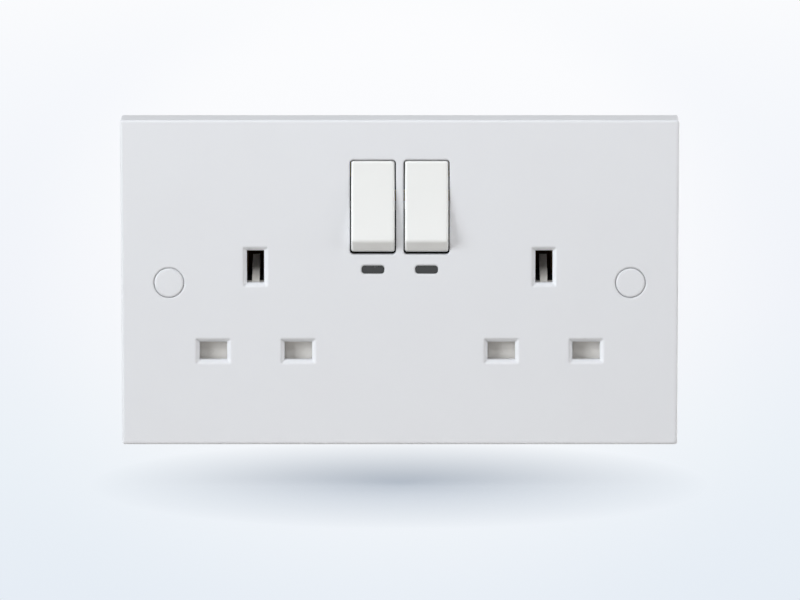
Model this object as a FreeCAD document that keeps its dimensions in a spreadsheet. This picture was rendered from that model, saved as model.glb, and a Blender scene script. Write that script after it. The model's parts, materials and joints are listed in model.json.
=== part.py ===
"""Two-gang switched wall socket: plate, switches, shutters, contacts, terminals, rear housing and screws.

The frame stands on the wall: +X to the right as one faces the socket, +Z up, +Y into the wall. The wall is
the plane y = 0, and the origin lies midway between the two fixing screws.
"""

import FreeCAD
import Part
import os
import re
import Sketcher

V = FreeCAD.Vector
WORD = re.compile(r"[a-z]+(?:_[a-z]+)+")

SIZES = {
    # front plate
    "plate_width": 146.0,
    "plate_height": 86.0,
    "plate_depth": 9.5,
    "plate_wall": 2.4,
    "face_wall": 2.6,
    "plate_corner": 0.7,
    "plate_edge": 0.6,
    "plate_taper": 1.0,
    # fixing screws and their caps
    "fixing_pitch": 120.6,
    "fixing_tube": 11.0,
    "fixing_hole": 4.0,
    "fixing_seat": 3.6,
    "thread_diameter": 3.5,
    "neck_diameter": 3.0,
    "head_diameter": 6.6,
    "head_height": 2.4,
    "head_room": 0.4,
    "fixing_length": 25.0,
    "cap_diameter": 7.7,
    "cap_clear": 0.12,
    "cap_thick": 1.4,
    "cap_proud": 0.1,
    "cap_edge": 0.25,
    # pin holes
    "outlet_pitch": 75.4,
    "earth_height": 4.2,
    "pin_across": 22.23,
    "pin_drop": 22.23,
    "earth_slot_wide": 4.5,
    "earth_slot_tall": 8.5,
    "flat_slot_wide": 7.2,
    "flat_slot_tall": 4.7,
    "slot_bevel": 0.95,
    "flat_pin": 17.7,
    "earth_pin": 22.7,
    "pin_clear": 1.4,
    # switches
    "rocker_pitch": 14.0,
    "rocker_height": 19.9,
    "window_wide": 12.0,
    "window_tall": 24.9,
    "window_corner": 0.9,
    "rocker_side": 0.33,
    "rocker_end": 0.3,
    "rocker_proud": 1.65,
    "rocker_angle": 8.0,
    "rocker_turn": 9.5,
    "rocker_foot": 2.4,
    "rocker_round": 1.1,
    "rocker_nose": 0.5,
    "rocker_edge": 0.6,
    "rocker_hollow": 140.0,
    "rocker_dish": 0.4,
    "rocker_wall": 1.6,
    "rocker_skirt": 0.2,
    "pivot_radius": 1.2,
    "pivot_clear": 0.1,
    "pivot_end": 0.15,
    "cheek_wide": 1.9,
    "stem_radius": 2.8,
    "stem_reach": 6.5,
    "plunger_radius": 1.5,
    "plunger_reach": 10.0,
    "plunger_base": 3.6,
    "plunger_clear": 0.12,
    "seesaw_angle": 11.0,
    "seesaw_thick": 1.0,
    "seesaw_apex": 1.25,
    "seesaw_wide": 4.5,
    "seesaw_arm": 9.5,
    "tip_gap": 0.3,
    "tip_height": 0.8,
    "tip_size": 3.0,
    # shutters
    "shutter_gap": 0.3,
    "shutter_thick": 3.4,
    "bar_recess": 0.9,
    "shutter_half": 15.2,
    "shutter_cover": 3.0,
    "shutter_travel": 6.0,
    "stem_half": 5.5,
    "guide_gap": 0.3,
    "guide_wide": 1.5,
    "tongue_wide": 2.0,
    "tongue_rise": 6.1,
    "tongue_back": 3.2,
    "spring_room": 13.0,
    "spring_coil": 1.3,
    "spring_wire": 0.22,
    # indicators
    "lens_height": 3.5,
    "lens_wide": 6.0,
    "lens_tall": 2.2,
    "lens_corner": 0.85,
    "lens_clear": 0.06,
    "lens_flange": 1.0,
    "lamp_radius": 2.0,
    "lamp_length": 8.8,
    "lead_radius": 0.3,
    # metalwork
    "strip_thick": 0.8,
    "strap_thick": 0.6,
    "strap_sink": 0.4,
    "strap_low": 2.0,
    "strap_high": 6.0,
    "strap_round": 4.6,
    "strap_seat": 0.3,
    "strap_clear": 0.15,
    "strip_half": 2.2,
    "jaw_half": 2.1,
    "clip_half": 3.3,
    "clip_flare": 0.7,
    "neutral_front": 1.3,
    "neutral_top": 6.5,
    "terminal_pitch": 11.0,
    "terminal_wide": 8.0,
    "terminal_deep": 9.0,
    "terminal_top": 12.0,
    "terminal_tall": 10.0,
    "bore_diameter": 4.8,
    "bore_back": 4.5,
    # rear housing
    "housing_wide": 108.4,
    "housing_tall": 66.0,
    "housing_wall": 1.8,
    "back_room": 0.5,
    "ear_wide": 8.5,
    "ear_tall": 7.0,
    "ear_back": 3.0,
    "bay_half": 23.5,
    "bay_rise": 9.0,
    "boss_across": 101.0,
    "boss_up": 30.0,
    "boss_radius": 2.5,
}

# levels across the thickness, each measured along Y from the wall
FACE = "(-plate_depth)"
INNER = "(face_wall - plate_depth)"
SHUTTER_FRONT = f"({INNER} + shutter_gap)"
SHUTTER_BACK = f"({SHUTTER_FRONT} + shutter_thick)"
SHUTTER_MID = f"({SHUTTER_FRONT} + shutter_thick / 2)"
HOUSING_FRONT = f"({SHUTTER_BACK} + shutter_gap)"
TUBE_BACK = "(-strap_thick - strap_sink)"
LIVE_FRONT = "(flat_pin + pin_clear - plate_depth)"
LIVE_BACK = f"({LIVE_FRONT} + strip_thick)"
EARTH_FRONT = "(earth_pin + pin_clear - plate_depth)"
EARTH_BACK = f"({EARTH_FRONT} + strip_thick)"
NEUTRAL_FRONT = f"({HOUSING_FRONT} + neutral_front)"
NEUTRAL_BACK = f"({NEUTRAL_FRONT} + strip_thick)"
BLOCK_BACK = f"({NEUTRAL_BACK} + terminal_deep)"
FLOOR = f"({EARTH_BACK} + back_room)"
BACK = f"({FLOOR} + housing_wall)"

# heights along Z and places along X
FLAT_Z = "(earth_height - pin_drop)"
SHUTTER_LOW = f"({FLAT_Z} - shutter_cover)"
SPRING_SEAT = f"({SHUTTER_LOW} - spring_room)"
STEM_TOP = "(earth_height - earth_slot_tall / 2 - 0.1)"
TERMINAL_LOW = "(-terminal_top - terminal_tall)"
BAY_FLOOR = "(bay_rise - housing_tall / 2)"
ROCKER_HALF = "(window_wide / 2 - rocker_side)"
ROCKER_RADIUS = "(window_tall / 2 - rocker_end)"

# the rocker turns on PIVOT, the see-saw contact on FULCRUM
PIVOT = f"({INNER} + pivot_radius + pivot_clear)"
ROCKER_FACE = f"({FACE} - rocker_proud - {PIVOT})"
V_DEPTH = "((plunger_radius + tip_gap) / cos(seesaw_angle))"
FULCRUM = f"({PIVOT} + plunger_reach - plunger_radius + {V_DEPTH} + seesaw_apex)"
ARM_BACK = f"({FULCRUM} - seesaw_apex * cos(seesaw_angle) + seesaw_thick)"
LAMP_Y = f"({INNER} + lens_flange + lamp_radius + 0.3)"

SIDES = {"left": -1, "right": 1}

doc = FreeCAD.newDocument("twin_socket")
sheet = doc.addObject("Spreadsheet::Sheet", "Sizes")
for row, (alias, number) in enumerate(SIZES.items(), start=1):
    sheet.set(f"A{row}", alias)
    sheet.set(f"B{row}", str(number))
    sheet.setAlias(f"B{row}", alias)
doc.recompute()

subparts = []


def sized(text):
    """Gives each size name in an expression the sheet's own name in front."""
    return WORD.sub(lambda found: f"Sizes.{found[0]}" if found[0] in SIZES else found[0], str(text))


def size(alias):
    """Reads one number from the sheet."""
    return float(sheet.get(alias))


def bind(thing, **settings):
    """Ties properties of an object to expressions; a double underscore stands for a dot."""
    for name, text in settings.items():
        thing.setExpression(name.replace("__", "."), sized(text))


def box(u_low, v_low, u_high, v_high):
    """Corners of an upright rectangle."""
    return [(u_low, v_low), (u_high, v_low), (u_high, v_high), (u_low, v_high)]


def about(u, v, u_half, v_half):
    """Corners of a rectangle about its middle."""
    return box(f"{u} - ({u_half})", f"{v} - ({v_half})", f"{u} + {u_half}", f"{v} + {v_half}")


class Piece:
    """One piece of the socket, built up in a body of its own from sketches that the sheet drives."""

    normals = {"XY": 1, "XZ": -1, "YZ": 1}

    def __init__(self, label, kept=True):
        self.body = doc.addObject("PartDesign::Body", label)
        self.body.Label = label
        self.count = 0
        if kept:
            subparts.append(self.body)

    def sketch(self, plane, level, outlines):
        """Draws closed outlines on a plane: a list of corners, or a circle as (u, v, radius)."""
        self.count += 1
        made = self.body.newObject("Sketcher::SketchObject", f"{self.body.Label}_sketch_{self.count}")
        support = next(f for f in self.body.Origin.OriginFeatures if f.Role == f"{plane}_Plane")
        made.AttachmentSupport = [(support, "")]
        made.MapMode = "FlatFace"
        bind(made, AttachmentOffset__Base__z=level)
        rules = []
        for outline in outlines:
            start = made.GeometryCount
            if isinstance(outline, tuple):
                u, v, radius = outline
                made.addGeometry(Part.Circle(V(1, 1, 0), V(0, 0, 1), 1))
                rules.append(("DistanceX", (-1, 1, start, 3), u))
                rules.append(("DistanceY", (-1, 1, start, 3), v))
                rules.append(("Radius", (start,), radius))
                continue
            total = len(outline)
            for i in range(total):
                made.addGeometry(Part.LineSegment(V(i, i * i, 0), V(i + 1, i * i + 1, 0)))
            for i, (u, v) in enumerate(outline):
                following = start + (i + 1) % total
                made.addConstraint(Sketcher.Constraint("Coincident", start + i, 2, following, 1))
                rules.append(("DistanceX", (-1, 1, start + i, 1), u))
                rules.append(("DistanceY", (-1, 1, start + i, 1), v))
        for kind, where, text in rules:
            index = made.addConstraint(Sketcher.Constraint(kind, *where, 1.0))
            made.setExpression(f"Constraints[{index}]", sized(text))
        return made

    def pad(self, plane, outlines, low, high, taper=None):
        """Adds a prism from one level to a higher one along the plane's axis."""
        level = low if self.normals[plane] > 0 else f"-({high})"
        profile = self.sketch(plane, level, outlines)
        made = self.body.newObject("PartDesign::Pad", f"{self.body.Label}_pad_{self.count}")
        made.Profile = profile
        bind(made, Length=f"({high}) - ({low})")
        if taper:
            bind(made, TaperAngle=f"-({taper}) * 1 deg")
        return made

    def cut(self, plane, outlines, low, high):
        """Takes a prism away from one level to a higher one along the plane's axis."""
        level = high if self.normals[plane] > 0 else f"-({low})"
        profile = self.sketch(plane, level, outlines)
        made = self.body.newObject("PartDesign::Pocket", f"{self.body.Label}_cut_{self.count}")
        made.Profile = profile
        bind(made, Length=f"({high}) - ({low})")
        return made

    def soften(self, kind, length, wanted):
        """Rounds or bevels the edges that a test picks."""
        doc.recompute()
        base = self.body.Tip
        names = [f"Edge{i}" for i, edge in enumerate(base.Shape.Edges, start=1) if wanted(edge)]
        if not names:
            raise ValueError(f"{self.body.Label} has no edge for its {kind}")
        self.count += 1
        made = self.body.newObject(f"PartDesign::{kind}", f"{self.body.Label}_{kind.lower()}_{self.count}")
        made.Base = (base, names)
        bind(made, **{"Radius" if kind == "Fillet" else "Size": length})
        doc.recompute()
        return made

    def place(self, x=None, y=None, z=None, turn=None):
        """Stands the body in the frame, turned about the X axis."""
        if turn:
            self.body.Placement = FreeCAD.Placement(V(0, 0, 0), FreeCAD.Rotation(V(1, 0, 0), 5))
            bind(self.body, Placement__Rotation__Angle=f"({turn}) * 1 deg")
        for name, text in (("x", x), ("y", y), ("z", z)):
            if text is not None:
                bind(self.body, **{f"Placement__Base__{name}": text})


def flat_on(axis, level):
    """Makes a test for edges that lie wholly in one plane square to an axis."""
    def test(edge):
        low = getattr(edge.BoundBox, f"{axis}Min")
        high = getattr(edge.BoundBox, f"{axis}Max")
        return abs(low - level) < 0.01 and abs(high - level) < 0.01
    return test


def outlet(sign):
    """Where an outlet's middle lies along X."""
    return f"({sign} * outlet_pitch / 2)"


def pins(sign):
    """Where an outlet's neutral and live pins lie along X."""
    return [f"({outlet(sign)} - pin_across / 2)", f"({outlet(sign)} + pin_across / 2)"]


def rocker_at(sign):
    """Where a rocker's middle lies along X."""
    return f"({sign} * rocker_pitch / 2)"


def fixing_at(sign):
    """Where a fixing screw lies along X."""
    return f"({sign} * fixing_pitch / 2)"


def boss_places():
    """Where the four screws that hold the housing stand."""
    return [(f"({sx} * boss_across / 2)", f"({sz} * boss_up)") for sx in (-1, 1) for sz in (-1, 1)]


def strap_run(sign, inner, outer, room="0"):
    """Outline of an earth strap's straight run between two places along X."""
    ends = (inner, outer) if sign > 0 else (outer, inner)
    return box(ends[0], f"strap_low - {room}", ends[1], f"strap_high + {room}")


def upright_at(places):
    """Makes a test for edges along Y that stand at one of the given places."""
    def test(edge):
        spot = edge.CenterOfMass
        return edge.BoundBox.YLength > 1 and any(abs(spot.x - x) + abs(spot.z - z) < 0.01 for x, z in places)
    return test


def hole_corners(middle_z, half_wide, half_tall):
    """Places of the corners of a pair of holes, one in line with each rocker."""
    middles = [sign * size("rocker_pitch") / 2 for sign in SIDES.values()]
    across = [x + side * half_wide for x in middles for side in (-1, 1)]
    return [(x, middle_z + side * half_tall) for x in across for side in (-1, 1)]


def front_plate():
    """The white plate: a shallow tray with every hole, rib, tube and boss moulded in."""
    plate = Piece("front_plate")
    whole = about("0", "0", "plate_width / 2", "plate_height / 2")
    plate.pad("XZ", [whole], FACE, "0", taper="plate_taper")
    depth = size("plate_depth")
    plate.soften("Fillet", "plate_corner", lambda edge: edge.BoundBox.YLength > depth / 2)
    plate.soften("Fillet", "plate_edge", flat_on("Y", -depth))
    hollow = about("0", "0", "plate_width / 2 - plate_wall", "plate_height / 2 - plate_wall")
    plate.cut("XZ", [hollow], INNER, "0")

    tubes = [(fixing_at(sign), "0", "fixing_tube / 2") for sign in SIDES.values()]
    plate.pad("XZ", tubes, INNER, f"{TUBE_BACK} + strap_seat")
    ring = [(fixing_at(sign), "0", "strap_round + strap_clear") for sign in SIDES.values()]
    plate.cut("XZ", ring, TUBE_BACK, "0")
    runs = []
    for sign in SIDES.values():
        inner = f"{fixing_at(sign)} - {sign} * (fixing_tube / 2 + 0.5)"
        runs.append(strap_run(sign, inner, fixing_at(sign), "strap_clear"))
    plate.cut("XZ", runs, TUBE_BACK, "0")
    bosses = [(x, z, "boss_radius") for x, z in boss_places()]
    plate.pad("XZ", bosses, INNER, HOUSING_FRONT)
    cheek = "rocker_pitch / 2 + window_wide / 2"
    cheeks = [about("0", "rocker_height", "(rocker_pitch - window_wide) / 2", "5")]
    for sign in SIDES.values():
        cheeks.append(about(f"{sign} * ({cheek} + cheek_wide / 2)", "rocker_height", "cheek_wide / 2", "5"))
    plate.pad("XZ", cheeks, INNER, f"{HOUSING_FRONT} - 0.2")

    guides = []
    seats = []
    for sign in SIDES.values():
        for side in (-1, 1):
            inside = f"{outlet(sign)} + {side} * (stem_half + guide_gap + guide_wide / 2)"
            outside = f"{outlet(sign)} + {side} * (shutter_half + guide_gap + guide_wide / 2)"
            low = f"{FLAT_Z} + shutter_cover + guide_gap"
            guides.append(box(f"{inside} - guide_wide / 2", low, f"{inside} + guide_wide / 2", "-2"))
            guides.append(about(outside, f"({FLAT_Z} - 3)", "guide_wide / 2", "7"))
        seats.append(box(f"{outlet(sign)} - 3", f"{SPRING_SEAT} - 1.4", f"{outlet(sign)} + 3", SPRING_SEAT))
    plate.pad("XZ", guides + seats, INNER, SHUTTER_BACK)
    spigots = [(outlet(sign), SHUTTER_MID, "spring_coil - spring_wire - 0.25") for sign in SIDES.values()]
    plate.pad("XY", spigots, f"{SPRING_SEAT} - 0.5", f"{SPRING_SEAT} + 2")

    cradles = []
    stays = []
    for sign in SIDES.values():
        for side in (-1, 1):
            beside = f"{rocker_at(sign)} + {side} * (lens_wide / 2 + 0.7)"
            cradles.append(about(beside, "lens_height", "0.5", "3.2"))
        stays.append(box(f"{sign} * 28 - 0.7", "13", f"{sign} * 28 + 0.7", "plate_height / 2 - 1"))
        stays.append(box(f"{sign} * 62 - 0.7", "-plate_height / 2 + 1", f"{sign} * 62 + 0.7", "-8"))
        stays.append(box(f"{sign} * 62 - 0.7", "8", f"{sign} * 62 + 0.7", "plate_height / 2 - 1"))
    plate.pad("XZ", cradles, INNER, f"{LAMP_Y} + 1")
    plate.pad("XZ", stays, INNER, f"{INNER} + 2.2")

    wells = [(fixing_at(sign), "0", "cap_diameter / 2 + cap_clear") for sign in SIDES.values()]
    plate.cut("XZ", wells, f"{FACE} - 1", f"{FACE} + cap_thick - cap_proud")
    rooms = [(fixing_at(sign), "0", "head_diameter / 2 + head_room") for sign in SIDES.values()]
    plate.cut("XZ", rooms, f"{FACE} + cap_thick - cap_proud - 0.5", "-fixing_seat")
    holes = [(fixing_at(sign), "0", "fixing_hole / 2") for sign in SIDES.values()]
    plate.cut("XZ", holes, "-fixing_seat - 1", "0")
    slots = []
    for sign in SIDES.values():
        slots.append(about(outlet(sign), "earth_height", "earth_slot_wide / 2", "earth_slot_tall / 2"))
        for x in pins(sign):
            slots.append(about(x, FLAT_Z, "flat_slot_wide / 2", "flat_slot_tall / 2"))
    plate.cut("XZ", slots, f"{FACE} - 1", INNER)
    windows = []
    for sign in SIDES.values():
        windows.append(about(rocker_at(sign), "rocker_height", "window_wide / 2", "window_tall / 2"))
        windows.append(about(rocker_at(sign), "lens_height", "lens_wide / 2", "lens_tall / 2"))
    plate.cut("XZ", windows, f"{FACE} - 1", INNER)
    corners = hole_corners(size("rocker_height"), size("window_wide") / 2, size("window_tall") / 2)
    plate.soften("Fillet", "window_corner", upright_at(corners))
    corners = hole_corners(size("lens_height"), size("lens_wide") / 2, size("lens_tall") / 2)
    plate.soften("Fillet", "lens_corner", upright_at(corners))
    plate.cut("XZ", [(x, z, "1.3") for x, z in boss_places()], f"{INNER} - 0.7", HOUSING_FRONT)
    notch = about("0", "rocker_height", f"{cheek} + cheek_wide + 1", "pivot_radius + pivot_clear")
    plate.cut("XZ", [notch], INNER, HOUSING_FRONT)
    grip = [(LAMP_Y, "lens_height", "lamp_radius + 0.1")]
    plate.cut("YZ", grip, "-rocker_pitch", "rocker_pitch")
    throat = "lamp_radius - 0.2"
    way_in = box(LAMP_Y, f"lens_height - ({throat})", f"{LAMP_Y} + 3", f"lens_height + {throat}")
    plate.cut("YZ", [way_in], "-rocker_pitch", "rocker_pitch")

    middles = []
    for sign in (-1, 1):
        middle = sign * size("outlet_pitch") / 2
        earth_z = size("earth_height")
        flat_z = earth_z - size("pin_drop")
        middles.append((middle, earth_z, size("earth_slot_wide") / 2, size("earth_slot_tall") / 2))
        for side in (-1, 1):
            x = middle + side * size("pin_across") / 2
            middles.append((x, flat_z, size("flat_slot_wide") / 2, size("flat_slot_tall") / 2))

    def on_slot(edge):
        if not flat_on("Y", -depth)(edge):
            return False
        spot = edge.CenterOfMass
        return any(abs(spot.x - x) < a + 0.01 and abs(spot.z - z) < b + 0.01 for x, z, a, b in middles)

    plate.soften("Chamfer", "slot_bevel", on_slot)


def screw_caps():
    """Push-in discs that hide the fixing screws, each on the ledge of its well."""
    for name, sign in SIDES.items():
        cap = Piece(f"screw_cap_{name}")
        back = f"({FACE} + cap_thick - cap_proud)"
        cap.pad("XZ", [(fixing_at(sign), "0", "cap_diameter / 2")], f"{FACE} - cap_proud", back)
        cap.pad("XZ", [(fixing_at(sign), "0", "head_diameter / 2 + head_room - cap_clear")],
                f"{FACE} + cap_thick / 2", f"{back} + 0.7")
        cap.cut("XZ", [(fixing_at(sign), "0", "head_diameter / 2 - 0.6")], back, f"{back} + 0.7")
        cap.soften("Chamfer", "cap_edge", flat_on("Y", -size("plate_depth") - size("cap_proud")))


def rocker_profile(hub):
    """Side view of a rocker about its pivot.

    Below, a bevel runs from the face to the foot, which sweeps past the window as the rocker turns. The upper
    end lies along the window's edge while it is in. The face is then dished for a finger.
    """
    def upper(y):
        return f"({ROCKER_RADIUS} + ({y}) * sin(rocker_angle)) / cos(rocker_angle)"

    foot = f"-sqrt({ROCKER_RADIUS}^2 - rocker_foot^2)"
    front = [(ROCKER_FACE, upper(ROCKER_FACE)), (ROCKER_FACE, "-rocker_turn"), ("-rocker_foot", foot)]
    low_back = [("rocker_skirt", f"-{ROCKER_RADIUS}"), ("rocker_skirt", "-4"), (hub, "-3")]
    high_back = [(hub, "3"), ("rocker_skirt", "4"), ("rocker_skirt", upper("rocker_skirt"))]
    return front + low_back + high_back


def rockers():
    """Two rockers at rest with the bottom out, each with trunnions, a bored stem, a plunger and a spring."""
    for name, sign in SIDES.items():
        rocker = Piece(f"rocker_{name}")
        hub = "(pivot_radius + 0.6)"
        rocker.pad("YZ", [rocker_profile(hub)], f"-{ROCKER_HALF}", ROCKER_HALF)
        finger = (f"{ROCKER_FACE} + rocker_dish - rocker_hollow", "1", "rocker_hollow")
        rocker.cut("YZ", [finger], f"-{ROCKER_HALF}", ROCKER_HALF)
        doc.recompute()
        face = rocker.body.Shape.BoundBox.YMin
        half = rocker.body.Shape.BoundBox.XMax
        foot = -size("rocker_foot")

        def nose(edge):
            return edge.BoundBox.XLength > half and edge.BoundBox.ZMin > 0 and flat_on("Y", face)(edge)

        def turn(edge):
            bounds = edge.BoundBox
            return bounds.XLength > half and bounds.ZMax < 0 and bounds.YMax < foot + 0.01

        def rim(edge):
            return edge.BoundBox.YMin < -0.5 and (flat_on("X", half)(edge) or flat_on("X", -half)(edge))

        rocker.soften("Fillet", "rocker_nose", nose)
        rocker.soften("Fillet", "rocker_round", turn)
        rocker.soften("Fillet", "rocker_edge", rim)
        caves = []
        for up in (-1, 1):
            caves.append(about("0", f"{up} * ({ROCKER_RADIUS} / 2 + 0.1)", f"{ROCKER_HALF} - rocker_wall",
                               f"{ROCKER_RADIUS} / 2 - 3.1"))
        rocker.cut("XZ", caves, f"{ROCKER_FACE} + rocker_wall", f"{hub} + 1")
        trunnion = "(rocker_pitch / 2 - pivot_end)"
        rocker.pad("YZ", [("0", "0", "pivot_radius")], f"-{trunnion}", trunnion)
        rocker.pad("XZ", [("0", "0", "stem_radius")], "0", "stem_reach")
        rocker.cut("XZ", [("0", "0", "plunger_radius + plunger_clear")], "-2", "stem_reach")
        rocker.place(rocker_at(sign), PIVOT, "rocker_height", turn="-rocker_angle")

        plunger = Piece(f"rocker_plunger_{name}")
        plunger.pad("XZ", [("0", "0", "plunger_radius")], "plunger_base", "plunger_reach")
        plunger.pad("XZ", [("0", "0", "0.7")], "plunger_base - 2", "plunger_base")
        plunger.soften("Fillet", "plunger_radius - 0.05", flat_on("Y", size("plunger_reach")))
        plunger.place(rocker_at(sign), PIVOT, "rocker_height", turn="-rocker_angle")

        spring = coil(f"rocker_spring_{name}", "plunger_base + 2 - 4 * spring_wire", "1.15", 4)
        spring.Placement = FreeCAD.Placement(V(0, 0, 0), FreeCAD.Rotation(V(1, 0, 0), -95))
        bind(spring, Placement__Rotation__Angle="-(90 + rocker_angle) * 1 deg")
        start = "(-2 + 2 * spring_wire)"
        bind(spring, Placement__Base__x=rocker_at(sign),
             Placement__Base__y=f"{PIVOT} + {start} * cos(rocker_angle)",
             Placement__Base__z=f"rocker_height - {start} * sin(rocker_angle)")


def coil(label, length, radius, turns):
    """A coil spring of square wire that stands along Z on the origin."""
    line = doc.addObject("Part::Helix", f"{label}_line")
    bind(line, Height=length, Pitch=f"({length}) / {turns}", Radius=radius)
    wire = doc.addObject("Part::RegularPolygon", f"{label}_wire")
    wire.Polygon = 4
    wire.Placement = FreeCAD.Placement(V(0, 0, 0), FreeCAD.Rotation(V(1, 0, 0), 90))
    bind(wire, Circumradius="spring_wire * 1.2", Placement__Base__x=radius)
    spring = doc.addObject("Part::Sweep", label)
    spring.Label = label
    spring.Sections = [wire]
    doc.recompute()
    spring.Spine = (line, [f"Edge{i + 1}" for i in range(len(line.Shape.Edges))])
    spring.Solid = True
    spring.Frenet = True
    subparts.append(spring)
    return spring


def switch_contacts():
    """See-saw strips, each bent to a shallow V about its fulcrum, with a contact pad on the upper arm."""
    for name, sign in SIDES.items():
        strip = Piece(f"switch_contact_{name}")
        lean = "sin(seesaw_angle)"
        rise = "cos(seesaw_angle)"

        def along(distance, height, up=1):
            """A point on an arm: so far from the bend, and so far behind the arm's front."""
            return (f"-seesaw_apex - ({distance}) * {lean} + ({height}) * {rise}",
                    f"{up} * (({distance}) * {rise} + ({height}) * {lean})")

        crease = (f"-seesaw_apex + seesaw_thick / {rise}", "0")
        arms = [("-seesaw_apex", "0"), along("seesaw_arm", "0"), along("seesaw_arm", "seesaw_thick"), crease,
                along("seesaw_arm", "seesaw_thick", -1), along("seesaw_arm", "0", -1)]
        strip.pad("YZ", [arms], "-seesaw_wide / 2", "seesaw_wide / 2")
        start = "(seesaw_arm - tip_size)"
        tip = [along(start, "seesaw_thick - 0.3"), along("seesaw_arm", "seesaw_thick - 0.3"),
               along("seesaw_arm", "seesaw_thick + tip_height"), along(start, "seesaw_thick + tip_height")]
        strip.pad("YZ", [tip], "-tip_size / 2", "tip_size / 2")
        strip.cut("YZ", [("0", "0", "0.6")], "-seesaw_wide / 2", "seesaw_wide / 2")
        strip.place(rocker_at(sign), FULCRUM, "rocker_height", turn="seesaw_angle")


def shutters():
    """Sliding shutters: a bar across both flat slots, a stem, and a ramp tongue in the earth slot."""
    for name, sign in SIDES.items():
        shutter = Piece(f"shutter_{name}")
        x = outlet(sign)
        bar = about(x, FLAT_Z, "shutter_half", "shutter_cover")
        shutter.pad("XZ", [bar], f"{SHUTTER_FRONT} + bar_recess", SHUTTER_BACK)
        stem = box(f"{x} - stem_half", SHUTTER_LOW, f"{x} + stem_half", STEM_TOP)
        shutter.pad("XZ", [stem], SHUTTER_FRONT, SHUTTER_BACK)
        tip = f"{STEM_TOP} + tongue_rise"
        tongue = [(SHUTTER_FRONT, STEM_TOP), ("tongue_back - 0.6", tip), ("tongue_back", tip),
                  ("tongue_back", f"{tip} - 1.8"), (SHUTTER_BACK, f"{STEM_TOP} - 0.4"),
                  (SHUTTER_BACK, f"{STEM_TOP} - 2"), (SHUTTER_FRONT, f"{STEM_TOP} - 2")]
        shutter.pad("YZ", [tongue], f"{x} - tongue_wide / 2", f"{x} + tongue_wide / 2")
        spigot = (x, SHUTTER_MID, "spring_coil - spring_wire - 0.25")
        shutter.pad("XY", [spigot], f"{SHUTTER_LOW} - 2", f"{SHUTTER_LOW} + 0.5")
        spring = coil(f"shutter_spring_{name}", "spring_room - 4 * spring_wire", "spring_coil", 6)
        bind(spring, Placement__Base__x=x, Placement__Base__y=SHUTTER_MID,
             Placement__Base__z=f"{SPRING_SEAT} + 2 * spring_wire")


def indicators():
    """Flush lenses, each with a neon lamp behind it in its cradle, a resistor and a lead."""
    for name, sign in SIDES.items():
        lens = Piece(f"indicator_lens_{name}")
        x = rocker_at(sign)
        light = about(x, "lens_height", "lens_wide / 2 - lens_clear", "lens_tall / 2 - lens_clear")
        lens.pad("XZ", [light], FACE, f"{INNER} + 0.2")
        lens.soften("Fillet", "lens_corner - lens_clear", lambda edge: edge.BoundBox.YLength > 1)
        flange = about(x, "lens_height", "lens_wide / 2 + 0.1", "lens_tall / 2 + 1")
        lens.pad("XZ", [flange], INNER, f"{INNER} + lens_flange")

        lamp = Piece(f"neon_lamp_{name}")
        tube = [(LAMP_Y, "lens_height", "lamp_radius")]
        lamp.pad("YZ", tube, f"{x} - lamp_length / 2", f"{x} + lamp_length / 2")
        far = sign * (size("rocker_pitch") + size("lamp_length")) / 2
        lamp.soften("Fillet", "lamp_radius - 0.2", flat_on("X", far))

        outer = f"({x} + {sign} * lamp_length / 2)"
        turn_x = pins(-1)[1] if sign < 0 else "terminal_pitch * 2 + 1"
        turn_z = "lens_height" if sign < 0 else "(earth_height + 10)"
        runs = [rod("x", outer, turn_x, LAMP_Y, "lens_height")]
        if sign > 0:
            runs.append(rod("z", "lens_height", turn_z, turn_x, LAMP_Y))
            runs.append(ball(turn_x, LAMP_Y, "lens_height"))
        runs.append(rod("y", LAMP_Y, LIVE_FRONT, turn_x, turn_z))
        runs.append(ball(turn_x, LAMP_Y, turn_z))
        fuse(f"neon_lead_{name}", runs)

        inner = f"({x} - {sign} * lamp_length / 2)"
        drop_x = f"({sign} * 1.3)"
        drop_z = "(-neutral_top - 2)"
        runs = [rod("x", inner, drop_x, LAMP_Y, "lens_height"),
                rod("z", drop_z, "lens_height", drop_x, LAMP_Y),
                rod("z", "-4.5", "1", drop_x, LAMP_Y, "0.95"),
                rod("y", LAMP_Y, NEUTRAL_FRONT, drop_x, drop_z),
                ball(drop_x, LAMP_Y, "lens_height"),
                ball(drop_x, LAMP_Y, drop_z)]
        fuse(f"neon_resistor_{name}", runs)


def rod(axis, start, end, first, second, radius="lead_radius"):
    """A straight length of wire along one axis; the other two places follow in order."""
    made = doc.addObject("Part::Cylinder", "rod")
    turns = {"x": FreeCAD.Rotation(V(0, 1, 0), 90), "y": FreeCAD.Rotation(V(1, 0, 0), -90),
             "z": FreeCAD.Rotation()}
    made.Placement = FreeCAD.Placement(V(0, 0, 0), turns[axis])
    bind(made, Radius=radius, Height=f"abs(({end}) - ({start}))")
    bind(made, **{f"Placement__Base__{axis}": f"min({start}; {end})"})
    others = [name for name in "xyz" if name != axis]
    for name, text in zip(others, (first, second)):
        bind(made, **{f"Placement__Base__{name}": text})
    return made


def ball(x, y, z):
    """A round elbow where two lengths of wire meet."""
    made = doc.addObject("Part::Sphere", "elbow")
    bind(made, Radius="lead_radius", Placement__Base__x=x, Placement__Base__y=y, Placement__Base__z=z)
    return made


def fuse(label, shapes):
    """Joins solids into one piece."""
    made = doc.addObject("Part::MultiFuse", label)
    made.Label = label
    made.Shapes = shapes
    made.Refine = True
    subparts.append(made)


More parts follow.
